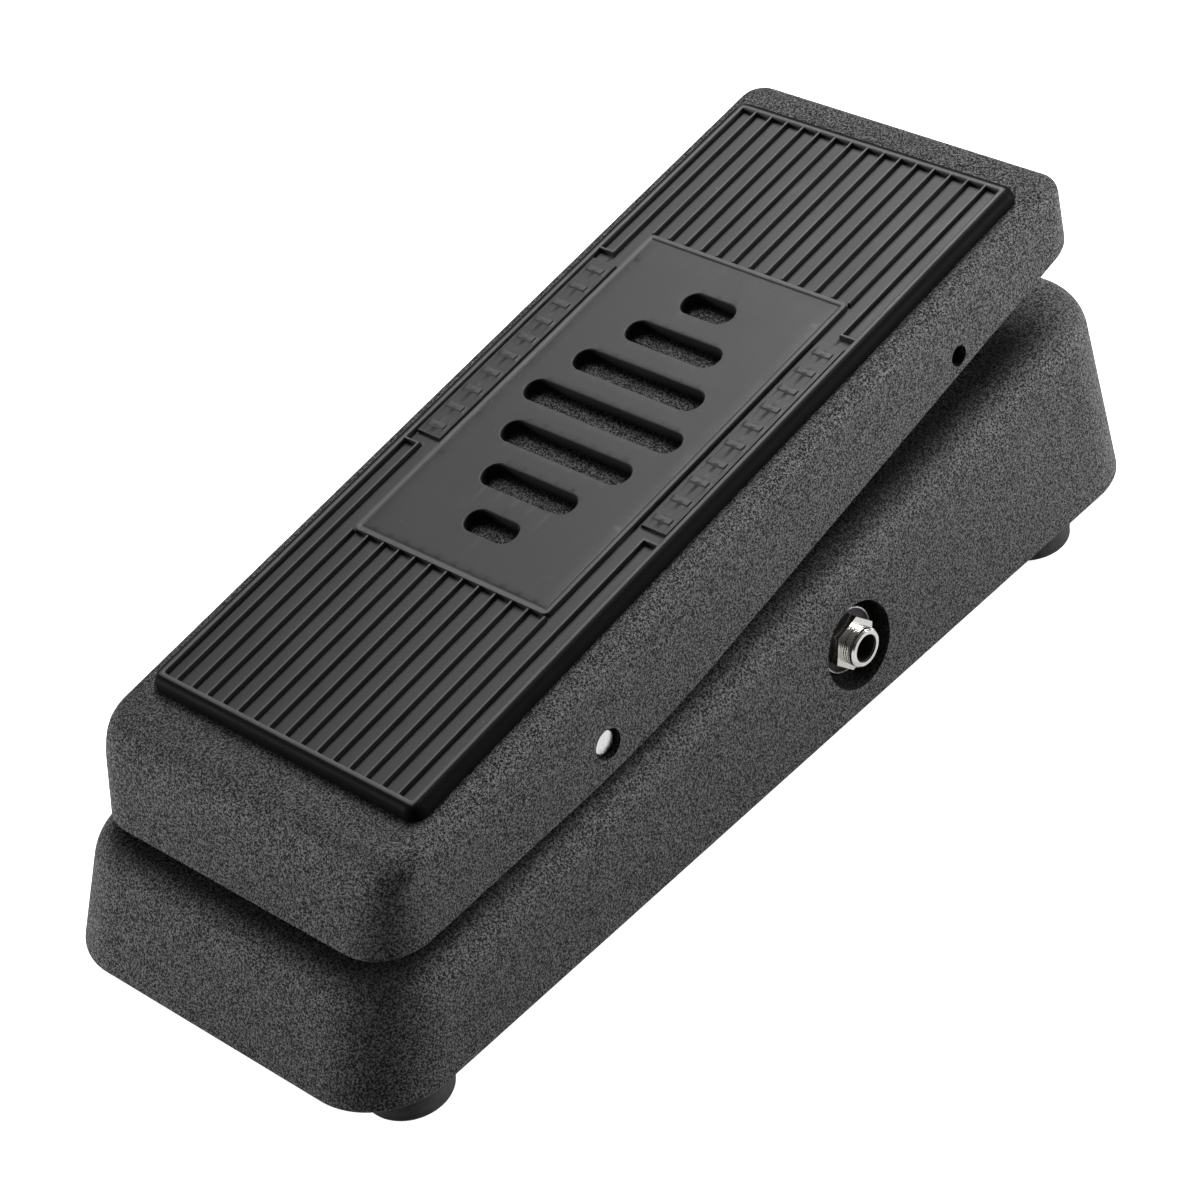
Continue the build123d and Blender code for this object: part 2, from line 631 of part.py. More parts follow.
def shell_section(depth):
    half, heel, toe, heel_radius, toe_radius = tread_sizes(depth)
    edge_in = round_inset(EDGE_ROUND, depth)
    heel_in = max(edge_in, HEEL_SHARE * round_inset(HEEL_ROUND, depth))
    return tread_outline(depth, half - edge_in, heel + heel_in, toe - edge_in,
                         heel_radius, max(toe_radius - edge_in, MIN_TOE_R))


def core_section(depth, sizes):
    half, heel, toe, heel_radius, toe_radius = sizes
    return tread_outline(depth, half - TREAD_WALL, heel + TREAD_WALL, toe - TREAD_WALL,
                         heel_radius - TREAD_WALL, toe_radius - TREAD_WALL)


def skirt_point(u):
    """point (u, w) on the skirt's two straight lower edges, extended"""
    (u0, d0), (u1, d1) = SKIRT[:2] if u < SKIRT[1][0] else SKIRT[1:]
    return u, -(d0 + (u - u0) * (d1 - d0) / (u1 - u0))


shell_sections = [shell_section(depth) for depth in STEPS]
core_sections = [core_section(TREAD_DEPTH + 2, TREAD_LOW),
                 core_section(TREAD_ROOF, tread_sizes(TREAD_ROOF))]

with BuildPart() as treadle_core:
    loft(core_sections, ruled=True)

with BuildPart() as treadle:
    loft(shell_sections, ruled=True)
    # lower edge of the skirt, deepest near the shaft
    with BuildSketch(TREAD_SIDE):
        with BuildLine():
            heel_end, toe_end = skirt_point(-140), skirt_point(140)
            FilletPolyline(heel_end, (SKIRT[1][0], -SKIRT[1][1]), toe_end, radius=SKIRT_BEND_R)
            Polyline(toe_end, (140, -60), (-140, -60), heel_end)
        make_face()
    extrude(amount=70, both=True, mode=Mode.SUBTRACT)
    add(treadle_core.part, mode=Mode.SUBTRACT)
    # bosses that hold the shaft
    for side in (1, -1):
        cylinders(across(side * 37.0), 6.2, side * 6.5, PIVOT)
    # stiffening ribs under the top
    with BuildSketch(TREAD.offset(ROOT_W)), Locations((RIB_X, RIB_U), (-RIB_X, RIB_U)):
        Rectangle(RIB_T, RIB_L)
    extrude(amount=-RIB_H)
    # lugs for the rack pin
    for side in (1, -1):
        with BuildSketch(TREAD_SIDE.offset(side * LUG_X)):
            with Locations(RACK_PIN):
                Circle(LUG_R)
            with Locations((PIN_U, (PIN_W + ROOT_W) / 2)):
                Rectangle(2 * LUG_R, ROOT_W - PIN_W)
        extrude(amount=side * LUG_T)
    # posts for the heel bumpers
    cylinders(TREAD.offset(-BUMPER_POST), 5.0, BUMPER_POST - 2.5, *BUMPERS)
    # shaft bore with a wider mouth in each wall
    bores(across(-60), SHAFT_R, 120, PIVOT)
    for side in (1, -1):
        bores(across(side * 43.4), 3.55, side * 10, PIVOT)
    # pin bore in the lugs
    bores(TREAD_SIDE.offset(-12), RACK_PIN_R, 24, RACK_PIN)
    # access hole in the right skirt, in line with the pin
    bores(TREAD_SIDE.offset(30), 2.4, 30, RACK_PIN)
keep(treadle, "treadle")

# ---------------------------------------------------------------- treadle fittings
SHAFT_END = 44.0
SHAFT_BORE_R = SHAFT_R + 0.03
BUSH_L, BUSH_FLANGE_R, BUSH_FLANGE_T = 12.0, 6.5, 1.2
RACK_PIN_HALF = 7.4

with BuildPart() as pivot_shaft:
    cylinders(across(-SHAFT_END), SHAFT_R, 2 * SHAFT_END, PIVOT)
    chamfer(pivot_shaft.edges().filter_by(GeomType.CIRCLE), 0.4)
keep(pivot_shaft, "pivot_shaft")

with BuildPart() as pivot_bushings:
    # sleeves inside the tower, flanges against its ends
    for side in (1, -1):
        for x, radius, length in ((TOWER_HALF - BUSH_L, BUSH_R, BUSH_L),
                                  (TOWER_HALF, BUSH_FLANGE_R, BUSH_FLANGE_T)):
            with BuildSketch(across(side * x)), Locations(PIVOT):
                Circle(radius)
                Circle(SHAFT_BORE_R, mode=Mode.SUBTRACT)
            extrude(amount=side * length)
keep(pivot_bushings, "pivot_bushings")

with BuildPart() as rack_pin:
    cylinders(TREAD_SIDE.offset(-RACK_PIN_HALF), RACK_PIN_R, 2 * RACK_PIN_HALF, RACK_PIN)
    # head against the right lug
    cylinders(TREAD_SIDE.offset(LUG_X + LUG_T), 2.1, 1.2, RACK_PIN)
keep(rack_pin, "rack_pin")

with BuildPart() as heel_bumpers:
    # rubber pads that stop the treadle heel down
    cylinders(TREAD.offset(-BUMPER_POST), 4.8, -1.8, *BUMPERS)
keep(heel_bumpers, "heel_bumpers")

with BuildPart() as toe_pad:
    # rubber pad that meets the footswitch plunger toe down
    with BuildSketch(TREAD.offset(-TREAD_ROOF)), Locations((0, 97.0)):
        RectangleRounded(24, 18, 2)
    extrude(amount=-3.0)
keep(toe_pad, "toe_pad")

# ---------------------------------------------------------------- tread mat
MAT_W, MAT_L, MAT_U = 75.0, 194.4, 7.35
MAT_R = 1.6
MAT_T, MAT_FLOOR = 3.3, 2.1
MAT_FLARE = 2.2                               # the wall's foot stands out this far
MAT_RIM = 1.0
MAT_LOW_U, MAT_HIGH_U = MAT_U - MAT_L / 2, MAT_U + MAT_L / 2
MAT_RIB_PITCH, MAT_RIB_W = MAT_W / 16, 0.9
MAT_RIB_LAP = 0.5                             # ribs run into the rim and panel
PANEL_W, PANEL_LOW_U, PANEL_HIGH_U = 56.6, -39.2, 60.9
PANEL_U = (PANEL_LOW_U + PANEL_HIGH_U) / 2
STRIP_X, STRIP_U, STRIP_W, STRIP_L = MAT_W / 2 - 5.2, 19.6, 8.4, 59.2
OUTER_LOW_U, OUTER_HIGH_U = -13.4, 52.5       # where the outermost ribs stop
CROSS_RIB_X = (7 * MAT_RIB_PITCH - MAT_RIB_W / 2 + MAT_W / 2) / 2
SLOTS = [14.0, 26.0, 36.0, 44.0, 36.0, 26.0, 14.0]   # lengths, heel to toe
SLOT_W, SLOT_PITCH = 6.4, 12.0

with BuildPart() as tread_mat:
    # flared foot, up to the floor between the ribs
    with BuildSketch(TREAD), Locations((0, MAT_U)):
        RectangleRounded(MAT_W + 2 * MAT_FLARE, MAT_L + 2 * MAT_FLARE, MAT_R + MAT_FLARE)
    with BuildSketch(TREAD.offset(MAT_FLOOR)), Locations((0, MAT_U)):
        RectangleRounded(MAT_W, MAT_L, MAT_R)
    loft(ruled=True)
    with BuildSketch(TREAD.offset(MAT_FLOOR)):
        # rim
        with Locations((0, MAT_U)):
            RectangleRounded(MAT_W, MAT_L, MAT_R)
            RectangleRounded(MAT_W - 2 * MAT_RIM, MAT_L - 2 * MAT_RIM, 1.0, mode=Mode.SUBTRACT)
        # central panel and side strips
        with Locations((0, PANEL_U)):
            Rectangle(PANEL_W, PANEL_HIGH_U - PANEL_LOW_U)
        with Locations((STRIP_X, STRIP_U), (-STRIP_X, STRIP_U)):
            Rectangle(STRIP_W, STRIP_L)
        # lengthwise ribs, toe part and heel part of each
        for k in range(-7, 8):
            if abs(k) == 7:
                low, high = OUTER_LOW_U, OUTER_HIGH_U
            else:
                low = PANEL_LOW_U + MAT_RIB_LAP
                high = PANEL_HIGH_U - (8.0 if abs(k) == 6 else MAT_RIB_LAP)
            for start, end in ((high, MAT_HIGH_U - MAT_RIB_LAP), (MAT_LOW_U + MAT_RIB_LAP, low)):
                with Locations((k * MAT_RIB_PITCH, (start + end) / 2)):
                    Rectangle(MAT_RIB_W, end - start)
        # short cross ribs from the outermost ribs to the rim
        for side in (1, -1):
            with Locations((side * CROSS_RIB_X, OUTER_HIGH_U), (side * CROSS_RIB_X, OUTER_LOW_U)):
                Rectangle(MAT_RIB_PITCH + MAT_RIB_W / 2, MAT_RIB_W)
    extrude(amount=MAT_T - MAT_FLOOR)
    # openings through the panel
    with BuildSketch(TREAD):
        for k, length in enumerate(SLOTS):
            with Locations((0, PANEL_U + (k - 3) * SLOT_PITCH)):
                SlotOverall(length, SLOT_W)
    extrude(amount=5, mode=Mode.SUBTRACT)
keep(tread_mat, "tread_mat")

# ---------------------------------------------------------------- wiring
WIRE_R = 0.6
# spline points (x, y, z) of each wire
WIRES = {
    "wiring_battery": [
        [(26.6, BATTERY_Y - 3, 21.5), (33, -80, 20.5), (33.6, -66, 17.5),
         (27.0, -58.5, 19.0), (24.0, -57.0, 21.6)],
        [(26.6, BATTERY_Y + 3, 20.5), (30.5, -76, 19.0), (29.5, -66, 15.5),
         (21.5, -58, 18.5), (19.0, -56.0, 21.6)],
    ],
    "wiring_signal": [
        # from the jacks
        [(13.4, JACK_Y - 4, 16.1), (10, 14, 14.0), (10, 7, 16.5), (10, 3, 21.6)],
        [(-13.4, JACK_Y - 4, 16.1), (-10, 14, 14.0), (-10, 7, 16.5), (-10, 3, 21.6)],
        # from the footswitch
        [(4.5, 94.5, 19.0), (9.0, 80, 14.5), (9.5, 50, 12.5),
         (6.0, 20, 13.5), (5.0, 6, 17.5), (5.0, 2, 21.6)],
        [(-4.5, 94.5, 19.0), (-7.0, 84, 12.0), (-8.0, 50, 11.5),
         (-4.0, 20, 12.5), (-5.0, 6, 17.5), (-5.0, 2, 21.6)],
        # from the potentiometer
        [(-12.5, 61.2, 10.8), (-15, 45, 10.8), (-14.5, 20, 11.5),
         (-15.5, 8, 16.5), (-15.5, 2, 21.6)],
        # from the power socket
        [(-32.4, -20, 13.5), (-31.6, -18.5, 17.0), (-30.0, -16, 19.8), (-28.6, -14.0, 21.6)],
    ],
}

for wire_name, runs in WIRES.items():
    with BuildPart() as wiring:
        for points in runs:
            with BuildLine() as run:
                Spline(*points)
            with BuildSketch(Plane(origin=run.line @ 0, z_dir=run.line % 0)):
                Circle(WIRE_R)
            sweep(path=run.line)
    keep(wiring, wire_name)
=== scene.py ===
# A foot pedal: a cast base with a treadle that slopes up towards the toe, a ribbed tread mat,
# rubber feet and buffers, and the wiring inside the base.
# It stands on z = 0 with the toe towards +Y and the heel towards -Y. The jacks are in the +X and
# -X walls. Scene units are metres; sizes below are millimetres unless noted.
import math

import bmesh
import bpy
import numpy as np
from mathutils import Matrix, Vector

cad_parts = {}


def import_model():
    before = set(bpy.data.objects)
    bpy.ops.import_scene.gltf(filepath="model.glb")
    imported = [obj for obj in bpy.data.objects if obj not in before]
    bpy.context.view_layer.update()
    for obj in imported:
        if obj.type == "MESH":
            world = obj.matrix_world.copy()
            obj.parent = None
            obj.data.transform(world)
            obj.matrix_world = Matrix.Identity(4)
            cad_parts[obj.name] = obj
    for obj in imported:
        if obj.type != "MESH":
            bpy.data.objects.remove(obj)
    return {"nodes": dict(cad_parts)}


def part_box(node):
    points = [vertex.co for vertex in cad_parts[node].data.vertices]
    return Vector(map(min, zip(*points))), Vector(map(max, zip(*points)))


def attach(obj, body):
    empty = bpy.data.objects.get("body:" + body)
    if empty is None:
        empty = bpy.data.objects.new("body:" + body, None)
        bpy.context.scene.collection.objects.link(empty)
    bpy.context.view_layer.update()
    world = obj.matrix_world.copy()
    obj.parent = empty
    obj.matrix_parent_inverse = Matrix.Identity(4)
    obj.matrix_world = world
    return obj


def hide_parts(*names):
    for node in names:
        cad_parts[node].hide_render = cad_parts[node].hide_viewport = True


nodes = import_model()["nodes"]
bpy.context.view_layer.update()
MM = 0.001


def mm(*values):
    """millimetres to metres"""
    return tuple(v * MM for v in values)


# ---------------------------------------------------------------- shared dimensions
# The treadle's top plane has its own axes: x across, u up the slope, w out of the plane.
TILT = math.radians(8.62)
COS_TILT, SIN_TILT = math.cos(TILT), math.sin(TILT)
mat_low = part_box("tread_mat")[0]
# metres; the lower heel edge of the mat lies on the plane
PLANE_Z = mat_low.z - mat_low.y * math.tan(TILT)
PLANE = Matrix((
    (1, 0, 0, 0),
    (0, COS_TILT, -SIN_TILT, 0),
    (0, SIN_TILT, COS_TILT, PLANE_Z),
    (0, 0, 0, 1)))

MAT_HALF_X = 75.0 / 2           # to the outer edge of the border's crest
MAT_HALF_U = 194.4 / 2
MAT_MID_U = 7.35

JACK_Y, JACK_Z = 25.4, 23.1     # axis shared by both jacks


# ---------------------------------------------------------------- shader helpers
class Shader:
    """A material whose nodes are added and linked by short calls. Sizes are in mm."""

    def __init__(self, name):
        self.mat = bpy.data.materials.new(name)
        self.mat.use_nodes = True
        self.tree = self.mat.node_tree
        self.tree.nodes.clear()
        self.out = self.new("ShaderNodeOutputMaterial")
        self.bsdf = self.new("ShaderNodeBsdfPrincipled")
        self.put(self.out.inputs[0], self.bsdf.outputs[0])
        self._coord = None

    def new(self, kind, **props):
        node = self.tree.nodes.new(kind)
        for key, value in props.items():
            setattr(node, key, value)
        return node

    def put(self, socket, value):
        """link a socket or set a value; colours get an alpha of 1"""
        if isinstance(value, bpy.types.NodeSocket):
            self.tree.links.new(value, socket)
        elif hasattr(value, "__len__"):
            socket.default_value = (*value, 1.0)[:len(socket.default_value)]
        else:
            socket.default_value = value

    def coord(self):
        if self._coord is None:
            self._coord = self.new("ShaderNodeTexCoord").outputs["Object"]
        return self._coord

    def part(self, vector, index):
        node = self.new("ShaderNodeSeparateXYZ")
        self.put(node.inputs[0], vector)
        return node.outputs[index]

    def axis(self, index):
        return self.part(self.coord(), index)

    def normal(self):
        return self.new("ShaderNodeNewGeometry").outputs["Normal"]

    def dot(self, a, b):
        node = self.new("ShaderNodeVectorMath", operation="DOT_PRODUCT")
        self.put(node.inputs[0], a)
        self.put(node.inputs[1], b)
        return node.outputs["Value"]

    def noise(self, size, detail=2.0, rough=0.5, distortion=0.0, stretch=(1, 1, 1), offset=0.0):
        """noise whose cells are about `size` across"""
        vector = self.coord()
        if tuple(stretch) != (1, 1, 1) or offset:
            mapping = self.new("ShaderNodeMapping")
            self.put(mapping.inputs["Vector"], vector)
            mapping.inputs["Scale"].default_value = stretch
            mapping.inputs["Location"].default_value = (offset, offset * 0.7, offset * 1.3)
            vector = mapping.outputs[0]
        node = self.new("ShaderNodeTexNoise")
        for key, value in (("Vector", vector), ("Scale", 1.0 / (size * MM)), ("Detail", detail),
                           ("Roughness", rough), ("Distortion", distortion)):
            self.put(node.inputs[key], value)
        return node.outputs[0]

    def remap(self, value, span, to=(0.0, 1.0)):
        """clamped linear map of `span` onto `to`"""
        node = self.new("ShaderNodeMapRange")
        keys = ("Value", "From Min", "From Max", "To Min", "To Max")
        for key, item in zip(keys, (value, *span, *to)):
            self.put(node.inputs[key], item)
        return node.outputs[0]

    def math(self, operation, *values):
        node = self.new("ShaderNodeMath", operation=operation)
        for socket, value in zip(node.inputs, values):
            self.put(socket, value)
        return node.outputs[0]

    def plus(self, a, b):
        return self.math("ADD", a, b)

    def minus(self, a, b):
        return self.math("SUBTRACT", a, b)

    def times(self, a, b):
        return self.math("MULTIPLY", a, b)

    def absolute(self, a):
        return self.math("ABSOLUTE", a)

    def mix(self, factor, a, b):
        node = self.new("ShaderNodeMix", data_type="RGBA")
        self.put(node.inputs["Factor"], factor)
        self.put(node.inputs[6], a)
        self.put(node.inputs[7], b)
        return node.outputs[2]

    def tone(self, value, a, b, span=(0.3, 0.7)):
        """colour that runs from a to b as `value` crosses `span`"""
        return self.mix(self.remap(value, span), a, b)

    def tint(self, base, mask, strength, color):
        return self.mix(self.times(mask, strength), base, color)

    def specks(self, base, spacing, span, strength, color):
        """scattered dots, one to a cell; `span` is the dots' soft edge as a share of a cell"""
        node = self.new("ShaderNodeTexVoronoi")
        self.put(node.inputs["Vector"], self.coord())
        self.put(node.inputs["Scale"], 1.0 / (spacing * MM))
        dots = self.remap(node.outputs["Distance"], span, to=(1.0, 0.0))
        return self.tint(base, dots, strength, color)

    def bump(self, height, distance, strength):
        node = self.new("ShaderNodeBump")
        self.put(node.inputs["Height"], height)
        self.put(node.inputs["Distance"], distance * MM)
        self.put(node.inputs["Strength"], strength)
        return node.outputs[0]

    def edge(self, radius):
        """0 on flat faces, towards 1 near edges"""
        bevel = self.new("ShaderNodeBevel", samples=4)
        bevel.inputs["Radius"].default_value = radius * MM
        return self.remap(self.dot(bevel.outputs[0], self.normal()), (0.995, 0.90))

    def jack_radius(self):
        """distance from the jacks' axis"""
        y = self.minus(self.axis(1), JACK_Y * MM)
        z = self.minus(self.axis(2), JACK_Z * MM)
        return self.math("SQRT", self.plus(self.times(y, y), self.times(z, z)))

    def finish(self, color, rough, metal=0.0, normal=None, spec=0.5, coat=None, coat_rough=None):
        for key, value in (("Base Color", color), ("Roughness", rough), ("Metallic", metal),
                           ("Normal", normal), ("Specular IOR Level", spec),
                           ("Coat Weight", coat), ("Coat Roughness", coat_rough)):
            if value is not None:
                self.put(self.bsdf.inputs[key], value)
        return self.mat


# ---------------------------------------------------------------- materials
def paint_material(name, grey):
    """black wrinkle finish: short branching ridges, lighter and glossier on their crests"""
    t = Shader(name)
    patches = t.noise(size=1.6, rough=0.55, offset=3.1)
    coarse = t.noise(size=0.42, rough=0.6, distortion=0.8)
    fine = t.noise(size=0.22, rough=0.6, distortion=0.4, offset=1.7)
    height = t.plus(t.times(coarse, 0.68), t.times(fine, 0.32))
    crest = t.remap(height, span=(0.475, 0.56))
    pit = t.remap(height, span=(0.38, 0.48), to=(1.0, 0.0))
    drift = t.noise(size=26.0, offset=9.0)
    base = t.mix(crest, (grey * 0.15, grey * 0.15, grey * 0.16),
                 (grey * 3.1, grey * 3.1, grey * 3.22))
    base = t.tint(base, pit, strength=0.75, color=(0.010, 0.010, 0.0105))
    base = t.mix(t.remap(drift, span=(0.3, 0.7), to=(0.0, 0.22)), base,
                 (grey * 1.25, grey * 1.24, grey * 1.25))
    # painted highlight: the edges are lightened and made glossier, in patches
    edge_highlight = t.times(t.edge(radius=1.1), t.remap(patches, span=(0.42, 0.62), to=(0.05, 0.75)))
    base = t.tint(base, edge_highlight, strength=0.35, color=(0.085, 0.085, 0.088))
    base = t.specks(base, spacing=2.6, span=(0.028, 0.05), strength=0.35,
                    color=(0.30, 0.30, 0.30))
    # the socket pockets are made near-black and dull
    pocket = t.remap(t.jack_radius(), span=mm(9.95, 10.06), to=(1.0, 0.0))
    # painted shade: ambient occlusion darkens the paint to near black and dulls it in crevices
    # and under the treadle
    ao = t.new("ShaderNodeAmbientOcclusion", samples=5)
    ao.inputs["Distance"].default_value = 24 * MM
    ao_shade = t.remap(ao.outputs["AO"], span=(0.32, 0.84), to=(0.84, 0.0))
    shade_and_pocket = t.math("MAXIMUM", ao_shade, t.times(pocket, 0.92))
    # the painted shade and the darkened pockets both pull the colour towards near black
    base = t.mix(shade_and_pocket, base, (0.004, 0.004, 0.0042))
    rough = t.plus(t.remap(crest, span=(0.0, 1.0), to=(0.62, 0.34)),
                   t.plus(t.times(edge_highlight, -0.06), t.times(shade_and_pocket, 0.2)))
    gloss = t.times(t.remap(crest, span=(0.0, 1.0), to=(0.08, 0.70)),
                    t.remap(shade_and_pocket, span=(0.0, 0.9), to=(1.0, 0.1)))
    normal = t.bump(height, distance=0.30, strength=1.0)
    return t.finish(base, rough, normal=normal, spec=gloss)


def mat_rubber():
    """moulded tread rubber: satin, very fine grain, a little dust; painted highlights on the
    crests and painted shade on the walls
    """
    t = Shader("mat_rubber")
    grain = t.noise(size=0.28, rough=0.6)
    cloud = t.noise(size=14.0, detail=3.0, rough=0.55, distortion=0.6, offset=4.0)
    scuff = t.noise(size=5.0, detail=4.0, rough=0.7, distortion=1.2, stretch=(1.0, 0.28, 1.0),
                    offset=2.0)
    worn = t.times(t.edge(radius=0.5), t.remap(scuff, span=(0.35, 0.62), to=(0.35, 1.0)))
    base = t.tone(cloud, (0.0270, 0.0270, 0.0279), (0.0340, 0.0340, 0.0351), span=(0.32, 0.68))
    base = t.tint(base, worn, strength=0.40, color=(0.105, 0.105, 0.108))
    base = t.tint(base, t.remap(scuff, span=(0.60, 0.74)), strength=0.16,
                  color=(0.085, 0.085, 0.087))
    base = t.specks(base, spacing=4.4, span=(0.016, 0.032), strength=0.7,
                    color=(0.42, 0.42, 0.41))
    # place on the treadle's plane: w out of it, u up the slope
    w = t.minus(t.minus(t.times(t.axis(2), COS_TILT), t.times(t.axis(1), SIN_TILT)),
                PLANE_Z * COS_TILT)
    # painted shade by slope: the steeper the face, the darker
    flat = t.remap(t.dot(t.normal(), (0.0, -SIN_TILT, COS_TILT)), span=(0.60, 0.985),
                   to=(0.55, 1.0))
    u = t.plus(t.times(t.axis(1), COS_TILT), t.times(t.minus(t.axis(2), PLANE_Z), SIN_TILT))

    def past(distance, half):
        """0 inside the border's crest, 1 on its outer wall"""
        return t.remap(t.absolute(distance), span=mm(half - 0.15, half + 0.35))

    # painted shade: the border's outer wall is made near black
    beyond = t.math("MAXIMUM", past(t.axis(0), MAT_HALF_X),
                    past(t.minus(u, MAT_MID_U * MM), MAT_HALF_U))
    # painted shade and highlight: steep walls darker, the border's outer wall near black, raised
    # faces a little darker than the floors, the crests the palest
    # painted shade: raised faces darker and floors lighter, to even out the light that reaches
    # them
    level = t.remap(w, span=mm(2.2, 2.9), to=(1.08, 0.78))
    pale = t.times(t.times(flat, level), t.remap(beyond, span=(0.0, 1.0), to=(1.0, 0.08)))
    base = t.mix(pale, (0.0035, 0.0035, 0.0037), base)
    # painted highlight: the middle of the ridge crests is lightened, in patches
    crest = t.times(t.times(t.remap(w, span=mm(3.21, 3.28)),
                            t.remap(scuff, span=(0.3, 0.6), to=(0.7, 1.0))),
                    t.minus(1.0, beyond))
    base = t.tint(base, crest, strength=0.75, color=(0.088, 0.088, 0.091))
    rough = t.plus(t.remap(cloud, span=(0.3, 0.7), to=(0.40, 0.50)), t.times(grain, 0.10))
    normal = t.bump(t.plus(t.times(grain, 0.5), t.times(scuff, 0.5)), distance=0.045,
                    strength=0.8)
    gloss = t.times(t.remap(flat, span=(0.55, 1.0), to=(0.18, 0.42)),
                    t.remap(beyond, span=(0.0, 1.0), to=(1.0, 0.12)))
    return t.finish(base, rough, normal=normal, spec=gloss)


def foot_rubber():
    """matte, slightly dusty rubber of the feet and buffers"""
    t = Shader("foot_rubber")
    grain = t.noise(size=0.35, detail=3.0, rough=0.65)
    cloud = t.noise(size=3.2, detail=3.0, rough=0.6, distortion=0.8)
    base = t.tone(cloud, (0.016, 0.016, 0.017), (0.032, 0.032, 0.033), span=(0.35, 0.68))
    base = t.tint(base, t.edge(radius=0.6), strength=0.4, color=(0.06, 0.06, 0.06))
    base = t.specks(base, spacing=1.7, span=(0.03, 0.07), strength=0.4, color=(0.25, 0.24, 0.23))
    rough = t.remap(grain, span=(0.3, 0.7), to=(0.55, 0.78))
    return t.finish(base, rough, normal=t.bump(grain, distance=0.07, strength=0.8), spec=0.38)


def plated(name, color, rough, stretch=(1, 1, 1)):
    """bright metal: faint smears, fine grain, paler edges and small dark pits"""
    t = Shader(name)
    smear = t.noise(size=2.6, detail=3.0, rough=0.6, distortion=1.1)
    fine = t.noise(size=0.18, rough=0.7, stretch=stretch)
    base = t.tone(smear, color, tuple(c * 0.86 for c in color))
    base = t.tint(base, t.edge(radius=0.25), strength=0.25,
                  color=tuple(min(1, c * 1.12) for c in color))
    base = t.specks(base, spacing=1.1, span=(0.03, 0.09), strength=0.25,
                    color=tuple(c * 0.45 for c in color))
    rough = t.plus(t.remap(smear, span=(0.3, 0.7), to=rough), t.times(fine, 0.08))
    return t.finish(base, rough, metal=1.0, normal=t.bump(fine, distance=0.012, strength=0.6))


def plastic(name, color, rough, grain=0.5, bump=0.02, vary=0.2, spec=0.45, coat=0.0):
    """moulded plastic: grain size and bump depth in mm, mottled by `vary`, rubbed edges"""
    t = Shader(name)
    texture = t.noise(size=grain, rough=0.6)
    cloud = t.noise(size=grain * 12, detail=3.0, rough=0.55, distortion=0.7)
    base = t.tone(cloud, tuple(c * (1 - vary) for c in color),
                  tuple(min(1, c * (1 + vary)) for c in color))
    base = t.tint(base, t.edge(radius=0.4), strength=0.3,
                  color=tuple(min(1.0, c * 1.7 + 0.02) for c in color))
    base = t.specks(base, spacing=2.4, span=(0.02, 0.05), strength=0.3, color=(0.45, 0.44, 0.42))
    roughness = t.remap(texture, span=(0.3, 0.7), to=(rough - 0.06, rough + 0.10))
    return t.finish(base, roughness, normal=t.bump(texture, distance=bump, strength=0.8),
                    spec=spec, coat=coat, coat_rough=0.2 if coat else None)


def sheet_paint():
    """satin black paint on sheet steel, with scuffs from the floor"""
    t = Shader("plate_steel")
    orange_peel = t.noise(size=0.9)
    scuff = t.noise(size=9.0, detail=5.0, rough=0.72, distortion=1.5, stretch=(1.0, 0.25, 1.0))
    lines = t.noise(size=1.2, detail=4.0, rough=0.75, distortion=0.2, stretch=(1.0, 0.06, 1.0),
                    offset=5.0)
    base = t.tone(scuff, (0.028, 0.028, 0.030), (0.050, 0.050, 0.052), span=(0.35, 0.7))
    base = t.tint(base, t.remap(lines, span=(0.66, 0.74)), strength=0.30,
                  color=(0.16, 0.16, 0.165))
    bare = t.times(t.edge(radius=0.5), t.remap(scuff, span=(0.5, 0.62), to=(0.0, 0.8)))
    base = t.mix(bare, base, (0.35, 0.35, 0.36))
    rough = t.remap(scuff, span=(0.3, 0.7), to=(0.34, 0.50))
    return t.finish(base, rough, metal=t.times(bare, 0.8),
                    normal=t.bump(orange_peel, distance=0.05, strength=0.6), spec=0.45)


def board_material():
    """green solder mask with traces seen under it, and the bare edge of the laminate"""
    t = Shader("board_green")
    x, y = t.axis(0), t.axis(1)
    # the traces wander by up to this much, in metres
    wander = 0.004
    wander_x = t.plus(x, t.times(t.noise(size=18.0, rough=0.4), wander))
    wander_y = t.plus(y, t.times(t.noise(size=21.0, detail=1.0, rough=0.4, offset=2.0), wander))
    lines_x = t.remap(t.math("PINGPONG", wander_x, 1.9 * MM), span=mm(1.25, 1.40))
    lines_y = t.remap(t.math("PINGPONG", wander_y, 2.3 * MM), span=mm(1.65, 1.80))
    patch = t.remap(t.noise(size=11.0, detail=0.0, offset=6.0), span=(0.49, 0.51))
    trace = t.mix(patch, lines_x, lines_y)
    weave = t.noise(size=0.6, stretch=(1, 0.4, 1))
    base = t.tone(weave, (0.012, 0.085, 0.034), (0.018, 0.110, 0.045))
    base = t.mix(trace, base, (0.030, 0.190, 0.075))
    pitch = 2.54 * MM
    pads = t.remap(t.math("MAXIMUM", t.math("PINGPONG", x, pitch), t.math("PINGPONG", y, pitch)),
                   span=mm(2.38, 2.42))
    edge = t.remap(t.absolute(t.part(t.normal(), 2)), span=(0.3, 0.6), to=(1.0, 0.0))
    # a grid of pads, switched off by its strength of 0
    base = t.tint(base, pads, strength=0.0, color=(0.6, 0.6, 0.58))
    base = t.mix(edge, base, (0.30, 0.27, 0.14))
    rough = t.remap(weave, span=(0.3, 0.7), to=(0.20, 0.34))
    return t.finish(base, rough, normal=t.bump(trace, distance=0.035, strength=0.7),
                    coat=0.3, coat_rough=0.15)


